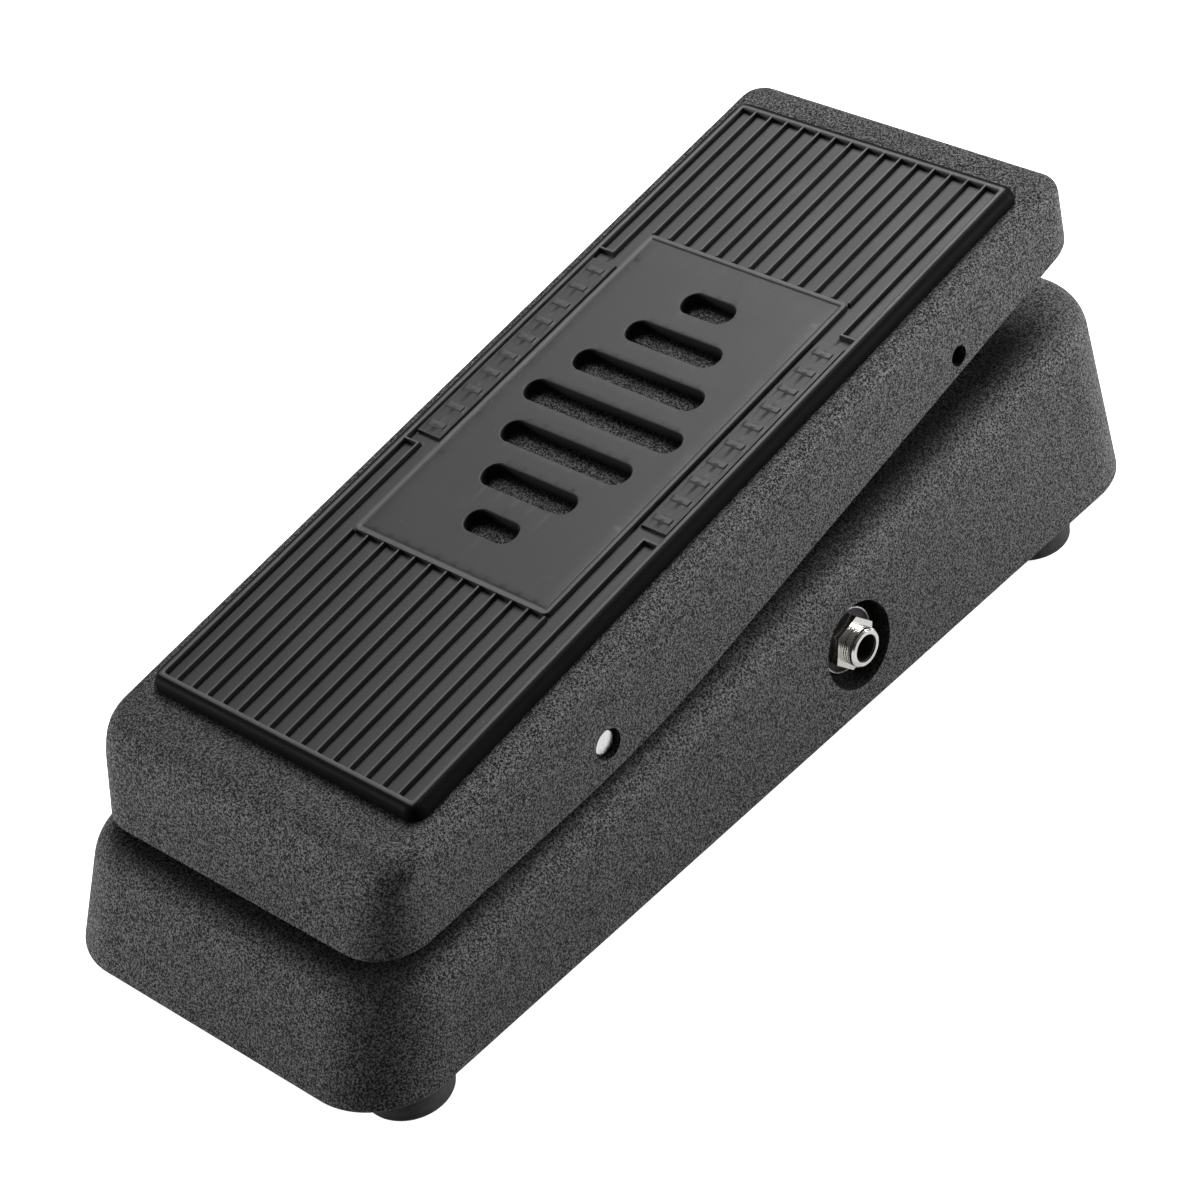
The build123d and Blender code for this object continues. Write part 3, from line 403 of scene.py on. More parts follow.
def banded(name, body, bands, origin=0.0, period=None):
    """component body with bands across x, given as (place from origin, width, colour)"""
    t = Shader(name)
    place = t.minus(t.axis(0), origin * MM)
    if period:
        # the added whole periods keep the modulo's input above zero
        place = t.math("MODULO", t.plus(place, period * 20.5 * MM), period * MM)
        place = t.minus(place, period * 0.5 * MM)
    cloud = t.noise(size=1.4, detail=3.0, rough=0.6)
    base = t.tone(cloud, tuple(c * 0.85 for c in body), body)
    for at, width, color in bands:
        distance = t.absolute(t.minus(place, at * MM))
        base = t.mix(t.math("LESS_THAN", distance, width * 0.5 * MM), base, color)
    rough = t.remap(cloud, span=(0.3, 0.7), to=(0.26, 0.42))
    return t.finish(base, rough, normal=t.bump(cloud, distance=0.03, strength=0.6))


def jack_material():
    """plated threaded nose, black moulded shell further in"""
    t = Shader("jack_plated")
    out = t.absolute(t.axis(0))
    nose = t.remap(out, span=mm(41.5, 41.8))
    smear = t.noise(size=2.2, detail=3.0, rough=0.6, distortion=1.0)
    fine = t.noise(size=0.2, rough=0.7)
    thread = t.math("PINGPONG", out, 0.30 * MM)
    threaded = t.times(t.remap(out, span=mm(50.5, 51.0), to=(1.0, 0.0)), nose)
    metal_color = t.tone(smear, (0.86, 0.84, 0.80), (0.74, 0.72, 0.68))
    shell_color = t.tone(smear, (0.014, 0.014, 0.015), (0.024, 0.024, 0.026))
    bore = t.times(t.remap(t.jack_radius(), span=mm(3.30, 3.45), to=(1.0, 0.0)),
                   t.remap(out, span=mm(51.0, 51.3), to=(1.0, 0.0)))
    base = t.mix(nose, shell_color, metal_color)
    base = t.mix(bore, base, (0.004, 0.004, 0.004))
    metal = t.times(nose, t.minus(1.0, bore))
    rough = t.plus(t.remap(smear, span=(0.3, 0.7), to=(0.12, 0.20)),
                   t.plus(t.times(t.minus(1.0, nose), 0.3), t.times(bore, 0.4)))
    # the thread's height in mm, masked, with a little grain over it
    height = t.plus(t.times(t.times(thread, 1000.0), t.times(threaded, 1.0)),
                    t.times(fine, 0.05))
    return t.finish(base, rough, metal, t.bump(height, distance=0.30, strength=0.8))


def washer_material():
    """blackened washer, bright only along its rubbed outer edge"""
    t = Shader("washer_black")
    radius = t.jack_radius()
    turned = t.math("PINGPONG", radius, 0.22 * MM)
    smear = t.noise(size=1.8, detail=3.0, rough=0.6, distortion=1.0)
    edge = t.times(t.remap(radius, span=mm(7.25, 7.45)),
                   t.remap(smear, span=(0.3, 0.6), to=(0.6, 1.0)))
    base = t.tone(smear, (0.012, 0.012, 0.013), (0.024, 0.023, 0.022))
    base = t.mix(edge, base, (0.80, 0.77, 0.72))
    rough = t.remap(smear, span=(0.3, 0.7), to=(0.24, 0.36))
    metal = t.remap(edge, span=(0.0, 1.0), to=(0.6, 1.0))
    normal = t.bump(t.times(turned, 1000.0), distance=0.04, strength=0.5)
    return t.finish(base, rough, metal, normal, spec=0.4)


def battery_material():
    """printed steel case with one plain band, bright ends"""
    t = Shader("battery_case")
    x = t.axis(0)
    cloud = t.noise(size=6.0, detail=3.0, rough=0.6)
    foil = t.noise(size=0.3, rough=0.7, stretch=(1, 0.1, 1))
    base = t.tone(cloud, (0.020, 0.020, 0.024), (0.034, 0.034, 0.040))
    band = t.remap(t.absolute(t.plus(x, 10.0 * MM)), span=mm(5.5, 5.7), to=(1.0, 0.0))
    base = t.mix(band, base, (0.45, 0.25, 0.09))
    end = t.remap(t.absolute(t.plus(x, 1.6 * MM)), span=mm(22.6, 22.8))
    base = t.mix(end, base, (0.62, 0.62, 0.63))
    rough = t.remap(foil, span=(0.3, 0.7), to=(0.22, 0.36))
    metal = t.math("MAXIMUM", end, t.times(band, 0.7))
    return t.finish(base, rough, metal, t.bump(foil, distance=0.02, strength=0.5),
                    coat=0.2, coat_rough=0.2)


MATERIALS = {
    "paint": paint_material("textured_paint", grey=0.0265),
    "paint_treadle": paint_material("textured_paint_treadle", grey=0.0325),
    "mat": mat_rubber(),
    "foot": foot_rubber(),
    "nickel": plated("plated_steel", color=(0.83, 0.81, 0.77), rough=(0.13, 0.22)),
    "zinc": plated("zinc_steel", color=(0.62, 0.63, 0.66), rough=(0.26, 0.38)),
    "shaft": plated("shaft_steel", color=(0.80, 0.80, 0.80), rough=(0.16, 0.26)),
    "pressed": plated("pressed_steel", color=(0.58, 0.58, 0.60), rough=(0.28, 0.42),
                      stretch=(1, 0.1, 1)),
    "brass": plated("brass_turned", color=(0.72, 0.53, 0.24), rough=(0.22, 0.34)),
    "sheet": sheet_paint(),
    "nylon": plastic("nylon", (0.62, 0.60, 0.54), rough=0.48, grain=0.6, bump=0.03, vary=0.06),
    "acetal": plastic("acetal_black", (0.016, 0.016, 0.017), rough=0.36),
    "black": plastic("black_plastic", (0.022, 0.022, 0.023), rough=0.46, grain=0.45, bump=0.05,
                     vary=0.25),
    "board": board_material(),
    "film": banded("component_red", (0.34, 0.030, 0.018), [(0.0, 0.5, (0.26, 0.022, 0.014))],
                   origin=8.0),
    "electro": banded("component_dark", (0.016, 0.020, 0.050), [(1.9, 1.5, (0.45, 0.47, 0.50))],
                      period=12.0),
    "inductor": plastic("inductor_wrap", (0.13, 0.012, 0.010), rough=0.34, grain=0.7, bump=0.05,
                        coat=0.4),
    "resistor": banded("resistor_tan", (0.46, 0.34, 0.19), [
        (-2.0, 0.6, (0.28, 0.02, 0.01)),
        (-0.9, 0.6, (0.02, 0.02, 0.30)),
        (0.2, 0.6, (0.40, 0.16, 0.01)),
        (2.0, 0.6, (0.50, 0.36, 0.06))], origin=8.0, period=14.0),
    "transistor": plastic("transistor_case", (0.020, 0.020, 0.020), rough=0.38, grain=0.4,
                          bump=0.03),
    "jack": jack_material(),
    "washer": washer_material(),
    "battery": battery_material(),
}

WIRE_COLORS = {
    "red": (0.42, 0.020, 0.016),
    "black": (0.018, 0.018, 0.019),
    "white": (0.60, 0.59, 0.56),
    "green": (0.020, 0.20, 0.060),
    "blue": (0.020, 0.060, 0.30),
    "yellow": (0.55, 0.38, 0.03),
}
WIRE_MATERIALS = {key: plastic("wire_" + key, color, rough=0.36, vary=0.12, spec=0.5)
                  for key, color in WIRE_COLORS.items()}
SOLDER = plated("solder", color=(0.66, 0.66, 0.67), rough=(0.24, 0.36))

# ---------------------------------------------------------------- finishes of the CAD pieces
FINISH = {
    "base_casting": "paint", "treadle": "paint_treadle", "bottom_plate": "sheet",
    "battery_cover": "black", "foot_screws": "zinc", "battery": "battery",
    "battery_clip": "black", "circuit_board": "board", "board_screws": "zinc",
    "inductor": "inductor", "film_capacitors": "film", "electrolytic_capacitors": "electro",
    "resistors": "resistor", "transistors": "transistor", "input_jack_body": "jack",
    "output_jack_body": "jack", "input_jack_washer": "washer", "output_jack_washer": "washer",
    "input_jack_nut": "nickel", "output_jack_nut": "nickel", "power_socket": "black",
    "footswitch_body": "nickel", "footswitch_nut": "nickel", "footswitch_washer": "nickel",
    "footswitch_plunger": "nickel", "pinion_gear": "nylon", "pot_shaft": "brass",
    "pot_body": "pressed", "pot_nut": "nickel", "pot_bracket": "pressed",
    "bracket_screws": "zinc", "rack_guide": "acetal", "guide_screw": "zinc", "rack": "nylon",
    "pivot_shaft": "shaft", "pivot_bushings": "nylon", "rack_pin": "shaft",
}


def smooth_tree(angle):
    """geometry nodes that smooth all faces and keep edges sharper than `angle` degrees sharp"""
    name = "smooth_%d" % angle
    group = bpy.data.node_groups.get(name)
    if group:
        return group
    group = bpy.data.node_groups.new(name, "GeometryNodeTree")
    for direction in ("INPUT", "OUTPUT"):
        group.interface.new_socket("Geometry", in_out=direction,
                                   socket_type="NodeSocketGeometry")
    start = group.nodes.new("NodeGroupInput")
    end = group.nodes.new("NodeGroupOutput")
    faces = group.nodes.new("GeometryNodeSetShadeSmooth")
    faces.domain = "FACE"
    faces.inputs["Shade Smooth"].default_value = True
    edges = group.nodes.new("GeometryNodeSetShadeSmooth")
    edges.domain = "EDGE"
    edges.inputs["Shade Smooth"].default_value = False
    edge_angle = group.nodes.new("GeometryNodeInputMeshEdgeAngle")
    sharper = group.nodes.new("FunctionNodeCompare")
    sharper.operation = "GREATER_THAN"
    sharper.inputs[1].default_value = math.radians(angle)
    group.links.new(edge_angle.outputs["Unsigned Angle"], sharper.inputs[0])
    group.links.new(start.outputs[0], faces.inputs["Geometry"])
    group.links.new(faces.outputs[0], edges.inputs["Geometry"])
    group.links.new(sharper.outputs[0], edges.inputs["Selection"])
    group.links.new(edges.outputs[0], end.inputs[0])
    return group


def smooth_faces(mesh):
    mesh.polygons.foreach_set("use_smooth", [True] * len(mesh.polygons))


def weight_normals(obj):
    modifier = obj.modifiers.new("weighted", "WEIGHTED_NORMAL")
    modifier.keep_sharp = True
    modifier.weight = 60


def smooth_cad(obj, angle):
    if "custom_normal" in obj.data.attributes:
        obj.data.attributes.remove(obj.data.attributes["custom_normal"])
    smooth_faces(obj.data)
    obj.modifiers.new("weld", "WELD").merge_threshold = 2e-6
    obj.modifiers.new("smooth", "NODES").node_group = smooth_tree(angle)
    weight_normals(obj)


for name, key in FINISH.items():
    piece = nodes[name]
    piece.data.materials.clear()
    piece.data.materials.append(MATERIALS[key])
    smooth_cad(piece, angle=24 if name == "treadle" else 30)


# ---------------------------------------------------------------- mesh helpers
def make_object(name, verts, faces, material):
    mesh = bpy.data.meshes.new(name)
    mesh.from_pydata([tuple(v) for v in verts], [], faces)
    mesh.update()
    obj = bpy.data.objects.new(name, mesh)
    bpy.context.scene.collection.objects.link(obj)
    mesh.materials.append(material)
    smooth_faces(mesh)
    return obj


def turn_outward(obj):
    """merge coincident vertices and make the face normals point out"""
    bm = bmesh.new()
    bm.from_mesh(obj.data)
    bmesh.ops.remove_doubles(bm, verts=bm.verts, dist=1e-7)
    bmesh.ops.recalc_face_normals(bm, faces=bm.faces)
    bm.to_mesh(obj.data)
    bm.free()


def shade(obj, angle):
    """smooth faces, with edges sharper than `angle` degrees kept sharp"""
    smooth_faces(obj.data)
    obj.data.set_sharp_from_angle(angle=math.radians(angle))


def hand_over(obj, carrier, node):
    """tell the frame what carries the object, which CAD piece it replaces"""
    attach(obj, carrier)
    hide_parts(node)


def add_rubber(name, solid, angle, carrier, node):
    obj = make_object(name, *solid, MATERIALS["foot"])
    turn_outward(obj)
    shade(obj, angle)
    hand_over(obj, carrier, node)


def join(solids):
    """several (verts, faces) solids as one"""
    all_verts, all_faces = [], []
    for verts, faces in solids:
        first = len(all_verts)
        all_verts += verts
        all_faces += [tuple(i + first for i in face) for face in faces]
    return all_verts, all_faces


def skin(loops):
    """closed solid over a stack of loops that have equal numbers of points"""
    verts = [point for loop in loops for point in loop]
    count = len(loops[0])
    faces = []
    for a in range(0, len(verts) - count, count):
        b = a + count
        for i in range(count):
            j = (i + 1) % count
            faces.append((a + i, a + j, b + j, b + i))
    faces.append(tuple(reversed(range(count))))
    faces.append(tuple(range(len(verts) - count, len(verts))))
    return verts, faces


def lathe(profile, segments, place):
    """solid of revolution from (r, z) points in mm that start and end on the axis or close a
    ring"""
    verts, faces, rings = [], [], []
    for r, z in profile:
        first = len(verts)
        if r == 0:
            verts.append(place @ Vector((0, 0, z * MM)))
        else:
            for k in range(segments):
                a = 2 * math.pi * k / segments
                verts.append(place @ Vector((r * MM * math.cos(a), r * MM * math.sin(a), z * MM)))
        rings.append(range(first, len(verts)))
    pairs = list(zip(rings[:-1], rings[1:]))
    if profile[0][0] > 0 and profile[-1][0] > 0:
        pairs.append((rings[-1], rings[0]))
    for a, b in pairs:
        for k in range(segments):
            j = (k + 1) % segments
            if len(a) == 1:
                faces.append((a[0], b[k], b[j]))
            elif len(b) == 1:
                faces.append((a[k], b[0], a[j]))
            else:
                faces.append((a[k], b[k], b[j], a[j]))
    return verts, faces


def arc(x, y, radius, start, end, steps):
    """points about (x, y), from the start to the end angle in degrees"""
    angles = [math.radians(start + (end - start) * k / steps) for k in range(steps + 1)]
    return [(x + radius * math.cos(a), y + radius * math.sin(a)) for a in angles]


# ---------------------------------------------------------------- tread mat
FLOOR, CREST = 2.1, 3.3         # heights over the plane
PANEL_TOP = 3.3
PANEL_DIP = 0.10                # the panel's face lies this far below its top
PANEL_X = 28.3                  # half width of the central panel
PANEL_U = (-39.2, 60.9)
PANEL_MID_U = (PANEL_U[0] + PANEL_U[1]) / 2
PANEL_CORNER = 1.3

SLOT_LENGTHS = [14.0, 26.0, 36.0, 44.0, 36.0, 26.0, 14.0]   # openings, from heel to toe
SLOT_WIDTH, SLOT_PITCH = 6.4, 12.0

RIDGE_PITCH = 2 * MAT_HALF_X / 16
OUTER_RIDGE = 7                 # ridges are numbered -7 to 7 across x
RIDGE_HALF, RIDGE_SOFT = 0.36, 0.15
BAR_U = (-13.4, 52.5)           # cross bars from the outer ridges out to the border
BAR_LAP = 0.42                  # the outer ridges run this far past the bars' middles
END_SOFT = 0.2                  # softness of the ridges' and bars' ends

STRIP_X = (29.6, 36.0)          # strip along each side of the panel
STRIP_U = (-10.0, 49.2)
STRIP_MID_X = (STRIP_X[0] + STRIP_X[1]) / 2
STRIP_RISE = 0.78
TICK_COUNT, TICK_WIDTH, TICK_LENGTH, TICK_RISE = 10, 1.5, 4.4, 0.36
TICK_SOFT = 0.14
TICK_U = [STRIP_U[0] + (STRIP_U[1] - STRIP_U[0]) * (k + 0.5) / TICK_COUNT
          for k in range(TICK_COUNT)]

BORDER_CREST = 1.3              # from the border's inner edge to the crest's outer edge
FLARE = 2.2                     # the wall's foot stands out this far from there
BORDER_WIDTH = BORDER_CREST + FLARE
# border cross-section: distance out from its inner edge, height
BORDER = [
    (0.0, FLOOR), (0.16, FLOOR), (0.26, FLOOR + 0.22), (0.36, FLOOR + 0.80),
    (0.48, FLOOR + 1.08), (0.66, CREST), (0.95, CREST + 0.02), (BORDER_CREST, CREST),
    *((BORDER_CREST + FLARE * math.sin(math.radians(a)) ** 0.92,
       CREST * math.cos(math.radians(a)) ** 0.92) for a in (10, 20, 31, 43, 55, 67, 78)),
    (BORDER_WIDTH, 0.06), (BORDER_WIDTH - 0.05, 0.0)]
BORDER_INNER_STEPS = 5          # up to here the border merges with ridges that meet it

# offsets of grid lines from the middle of a ridge, the edges of steps and ticks, and inwards
# from the panel's edge
RIDGE_LINES = (0.74, 0.52, 0.44, 0.36, 0.28, 0.20, 0.10)
EDGE_LINES_X = (0.18, 0.11, 0.0)
EDGE_LINES_U = (0.2, 0.11, 0.0)
TICK_LINES = (0.14, 0.07, 0.0)
RIM_LINES = (0.32, 0.46, 0.60, 0.75, 0.9, 1.05, 1.2, 1.4, 1.55, 1.7, 1.9)


def step(value, edge, side, soft=0.18):
    """smooth step, 1 on the side of `edge` that `side` points to"""
    t = np.clip(0.5 + side * (value - edge) / (2 * soft), 0, 1)
    return t * t * (3 - 2 * t)


def ridge_rise(distance):
    """rise over the floor at a distance from the middle of a rounded ridge"""
    distance = np.abs(distance)
    crown = CREST - 0.10 * np.clip(distance / RIDGE_HALF, 0, 1) ** 2
    return (crown - FLOOR) * step(distance, RIDGE_HALF, -1, RIDGE_SOFT)


def panel_height(x, u):
    """central panel, with a raised rim and a fine groove just inside it"""
    over_x = np.abs(x) - (PANEL_X - PANEL_CORNER)
    over_u = np.abs(u - PANEL_MID_U) - ((PANEL_U[1] - PANEL_U[0]) / 2 - PANEL_CORNER)
    outside = (np.hypot(np.maximum(over_x, 0), np.maximum(over_u, 0))
               + np.minimum(np.maximum(over_x, over_u), 0) - PANEL_CORNER)
    panel = FLOOR + (PANEL_TOP - FLOOR) * step(outside, 0.0, -1)
    inside = -outside
    groove = 0.16 * np.exp(-((inside - 1.55) / 0.24) ** 2)
    rim = 0.10 * (1 - np.clip((inside - 0.9) / 0.5, 0, 1))
    return np.where(inside > 0.2, panel - PANEL_DIP - groove + rim, panel)


def strip_height(x, u):
    """side strips with plain raised ticks, 0 elsewhere"""
    across = np.abs(x)
    inside = np.minimum(
        np.minimum(step(u, STRIP_U[0], 1), step(u, STRIP_U[1], -1)),
        np.minimum(step(across, STRIP_X[0], 1), step(across, STRIP_X[1], -1)))
    strip = FLOOR + STRIP_RISE * inside
    for middle in TICK_U:
        tick = np.minimum(
            step(np.abs(u - middle), TICK_WIDTH / 2, -1, TICK_SOFT),
            step(np.abs(across - STRIP_MID_X), TICK_LENGTH / 2, -1, TICK_SOFT))
        strip = np.maximum(strip, FLOOR + STRIP_RISE + TICK_RISE * tick)
    return np.where(inside > 0, strip, 0)


def mat_height(x, u):
    """height of the mat's top surface over the plane, inside the border"""
    z = np.maximum(FLOOR, panel_height(x, u))
    for k in range(-OUTER_RIDGE, OUTER_RIDGE + 1):
        low, high = PANEL_U
        if abs(k) == OUTER_RIDGE:
            low, high = BAR_U[0] + BAR_LAP, BAR_U[1] - BAR_LAP
        along = np.maximum(step(u, high, 1, END_SOFT), step(u, low, -1, END_SOFT))
        z = np.maximum(z, FLOOR + ridge_rise(x - k * RIDGE_PITCH) * along)
    for at in BAR_U:
        across = step(np.abs(x), OUTER_RIDGE * RIDGE_PITCH, 1, END_SOFT)
        z = np.maximum(z, FLOOR + ridge_rise(u - at) * across)
    return np.maximum(z, strip_height(x, u))


def around(centres, offsets):
    return [c + side * offset for c in centres for offset in offsets for side in (1, -1)]


def grid_lines(values, low, high, gap=0.03):
    """sorted lines from low to high, none closer than `gap` to the one before"""
    lines = [low]
    for value in sorted({round(v, 4) for v in values}):
        if low < value < high and value - lines[-1] >= gap:
            lines.append(value)
    if high - lines[-1] >= gap:
        lines.append(high)
    lines[-1] = high
    return lines


def bordered(count):
    """(grid line, side, border step) of every line, with the border's steps at both ends"""
    steps = len(BORDER) - 1
    return ([(0, -1, k) for k in range(steps, 0, -1)]
            + [(i, 0, 0) for i in range(count)]
            + [(count - 1, 1, k) for k in range(1, steps + 1)])


def mat_solid():
    """the mat as a grid with the border wrapped round it and a flat underside"""
    inner_x = MAT_HALF_X + FLARE - BORDER_WIDTH
    inner_u = MAT_HALF_U + FLARE - BORDER_WIDTH
    ridges = [k * RIDGE_PITCH for k in range(-OUTER_RIDGE, OUTER_RIDGE + 1)]
    tick_ends = (STRIP_MID_X - TICK_LENGTH / 2, STRIP_MID_X + TICK_LENGTH / 2)
    half = (around((PANEL_X, *STRIP_X), EDGE_LINES_X) + [PANEL_X - v for v in RIM_LINES]
            + around(tick_ends, TICK_LINES))
    xs = grid_lines([*ridges, *around(ridges, RIDGE_LINES), *half, *(-v for v in half)],
                    -inner_x, inner_x)
    tick_sides = [u + side * TICK_WIDTH / 2 for u in TICK_U for side in (-1, 1)]
    us = grid_lines([*around((*PANEL_U, *STRIP_U), EDGE_LINES_U),
                     *(PANEL_U[0] + v for v in RIM_LINES),
                     *(PANEL_U[1] - v for v in RIM_LINES),
                     *BAR_U, *around(BAR_U, RIDGE_LINES),
                     *around(tick_sides, TICK_LINES), *range(-84, 98, 12)],
                    MAT_MID_U - inner_u, MAT_MID_U + inner_u)
    heights = mat_height(np.array(xs)[:, None], np.array(us)[None, :])
    across, along = bordered(len(xs)), bordered(len(us))
    verts = []
    for line_x, side_x, step_x in across:
        for line_u, side_u, step_u in along:
            outer = max(step_x, step_u)
            out, z = BORDER[outer]
            inner_z = float(heights[line_x, line_u])
            if outer == 0:
                z = inner_z
            elif min(step_x, step_u) == 0 and outer <= BORDER_INNER_STEPS:
                z = max(z, inner_z)
            # at the corners the border's lines fan out over a quarter turn
            turn = math.pi / 4 * min(step_x, step_u) / max(outer, 1)
            if step_x < step_u:
                turn = math.pi / 2 - turn
            verts.append((xs[line_x] + side_x * out * math.cos(turn),
                          us[line_u] + side_u * out * math.sin(turn), z))
    rows, row = len(across), len(along)
    faces = [(i * row + j, (i + 1) * row + j, (i + 1) * row + j + 1, i * row + j + 1)
             for i in range(rows - 1) for j in range(row - 1)]
    # the underside is one face with the outer ring as its edge
    ring = ([i * row for i in range(rows)]
            + [(rows - 1) * row + j for j in range(1, row)]
            + [i * row + row - 1 for i in range(rows - 2, -1, -1)]
            + list(range(row - 2, 0, -1)))
    faces.append(tuple(reversed(ring)))
    return verts, faces


def slot_outline(length, width, steps=20):
    radius = width / 2
    points = []
    for side in (1, -1):
        for k in range(steps + 1):
            a = -side * math.pi / 2 + math.pi * k / steps
            points.append((side * (length / 2 - radius) + radius * math.cos(a),
                           radius * math.sin(a)))
    return points


def slot_solids():
    """one solid per opening, flared at the top so that the panel's edge is rounded"""
    top = PANEL_TOP - PANEL_DIP
    # widening on every side, height
    profile = [(0.0, -1.0), (0.0, top - 0.34), (0.03, top - 0.20), (0.10, top - 0.08),
               (0.20, top - 0.02), (0.34, top + 0.004), (0.40, top + 1.0)]
    solids = []
    for k, length in enumerate(SLOT_LENGTHS):
        u = PANEL_MID_U + (k - 3) * SLOT_PITCH
        solids.append(skin([
            [(px, u + pu, z) for px, pu in slot_outline(length + 2 * grow, SLOT_WIDTH + 2 * grow)]
            for grow, z in profile]))
    return join(solids)


def treadle_object(name, verts, faces):
    """mat rubber object from points (x, u, w) on the treadle's plane"""
    obj = make_object(name, [PLANE @ Vector(mm(*v)) for v in verts], faces, MATERIALS["mat"])
    turn_outward(obj)
    return obj


def cut_away(target, cutter, name):
    """subtract the cutter for good and remove it"""
    modifier = target.modifiers.new("cut", "BOOLEAN")
    modifier.operation = "DIFFERENCE"
    modifier.solver = "EXACT"
    modifier.object = cutter
    depsgraph = bpy.context.evaluated_depsgraph_get()
    mesh = bpy.data.meshes.new_from_object(target.evaluated_get(depsgraph), depsgraph=depsgraph)
    target.modifiers.clear()
    old = target.data
    target.data = mesh
    mesh.name = name
    bpy.data.meshes.remove(old)
    bpy.data.objects.remove(cutter)


mat = treadle_object("tread_mat_rubber", *mat_solid())
cut_away(mat, treadle_object("mat_cutter", *slot_solids()), "tread_mat_rubber")
shade(mat, angle=50)
weight_normals(mat)
hand_over(mat, "treadle_assembly", "tread_mat")

# ---------------------------------------------------------------- rubber feet
FOOT_R = 10.0
FOOT_BORE = 1.9
FOOT_RECESS = 4.4               # radius of the recess in the underside
feet_low, feet_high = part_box("rubber_feet")
FOOT_H = feet_high.z / MM
FOOT_X = feet_high.x / MM - FOOT_R
FOOT_Y = (feet_low.y / MM + FOOT_R, feet_high.y / MM - FOOT_R)
# (radius, height) from the top of the bore, out and down the side, and back up the recess
FOOT_PROFILE = [
    (FOOT_BORE, FOOT_H), (FOOT_R - 0.45, FOOT_H),
    *arc(FOOT_R - 0.45, FOOT_H - 0.45, 0.45, 90, 0, steps=4)[1:],
    (FOOT_R - 0.02, FOOT_H - 1.3), (FOOT_R - 0.28, FOOT_H - 1.55),
    (FOOT_R - 0.34, FOOT_H - 1.9), (FOOT_R - 0.16, FOOT_H - 2.2), (FOOT_R - 0.30, 2.6),
    *arc(FOOT_R - 1.55, 1.25, 1.15, 20, -90, steps=8),
    (FOOT_R - 2.1, 0.10), (FOOT_R - 2.35, 0.0), (FOOT_R - 2.6, 0.30), (FOOT_R - 2.9, 0.45),
    (FOOT_R - 3.2, 0.30), (FOOT_R - 3.45, 0.0),
    *arc(FOOT_RECESS + 0.5, 0.5, 0.5, -90, -180, steps=4),
    (FOOT_RECESS, 4.9),
    *arc(FOOT_RECESS - 0.3, 4.9, 0.3, 0, 90, steps=3),
    (FOOT_BORE, 5.2)]
feet = join(lathe(FOOT_PROFILE, 72, Matrix.Translation(mm(side * FOOT_X, y, 0)))
            for y in FOOT_Y for side in (1, -1))
add_rubber("rubber_feet_moulded", feet, 40, "base", "rubber_feet")

# ---------------------------------------------------------------- heel buffers
BUFFER_R, BUFFER_T = 4.75, 1.8
BUFFER_X, BUFFER_U, BUFFER_DROP = 17.5, -88.0, 21.8     # drop below the treadle's plane
# (radius, height) from the middle of the lower face round to the middle of the top
BUFFER_PROFILE = [
    (0.0, -BUFFER_T * 0.97),
    *((r, -BUFFER_T + 0.05 + 0.35 * (r / BUFFER_R) ** 4) for r in (1.0, 2.0, 3.0)),
    *arc(BUFFER_R - 0.7, -BUFFER_T + 0.75, 0.7, -90, 0, steps=6),
    (BUFFER_R - 0.04, -0.5), (BUFFER_R, -0.02), (0.0, -0.02)]
buffers = join(
    lathe(BUFFER_PROFILE, 48,
          PLANE @ Matrix.Translation(mm(side * BUFFER_X, BUFFER_U, -BUFFER_DROP)))
    for side in (1, -1))
add_rubber("heel_buffers", buffers, 45, "treadle_assembly", "heel_bumpers")

# ---------------------------------------------------------------- toe pad
PAD_HALF_X, PAD_HALF_U, PAD_THICK = 12.0, 9.0, 3.0
PAD_CORNER = 2.0
PAD_CROWN = 0.25                # bulge of the lower face
PAD_ROUND = 0.8                 # radius of the lower rim
PAD_U, PAD_DROP = 97.0, 3.2


def pad_outline(inset):
    half_x, half_u = PAD_HALF_X - inset, PAD_HALF_U - inset
    radius = max(PAD_CORNER - inset, 0.15)
    x, u = half_x - radius, half_u - radius
    return [point for cx, cu, start in ((x, u, 0), (-x, u, 90), (-x, -u, 180), (x, -u, 270))
            for point in arc(cx, cu, radius, start, start + 90, steps=12)]


def toe_pad():
    """closed pad with a rounded rim and a slightly crowned face, hanging below its plane"""
    place = PLANE @ Matrix.Translation(mm(0, PAD_U, -PAD_DROP))
    face = -(PAD_THICK - PAD_CROWN)
    levels = [(0.0, 0.0)]       # inset, height
    for degrees in (0, 15, 30, 45, 60, 75, 90):
        a = math.radians(degrees)
        levels.append((PAD_ROUND - PAD_ROUND * math.cos(a),
                       face + PAD_ROUND - PAD_ROUND * math.sin(a)))
    reach = min(PAD_HALF_X, PAD_HALF_U) - PAD_ROUND - 0.4
    for share in (0.15, 0.35, 0.6, 0.85, 1.0):
        levels.append((PAD_ROUND + reach * share,
                       face - PAD_CROWN * math.sin(share * math.pi / 2)))
    return skin([[place @ Vector(mm(x, u, z)) for x, u in pad_outline(inset)]
                 for inset, z in levels])


add_rubber("toe_buffer", toe_pad(), 45, "treadle_assembly", "toe_pad")

# ---------------------------------------------------------------- wiring
BATTERY_Y = -86.0
WIRE_RADIUS = 0.62
BARE_RADIUS = WIRE_RADIUS * 0.5
CASTING_Z = 1.6                 # the heights below are over this datum of the casting
LEAD_Y = JACK_Y - 4
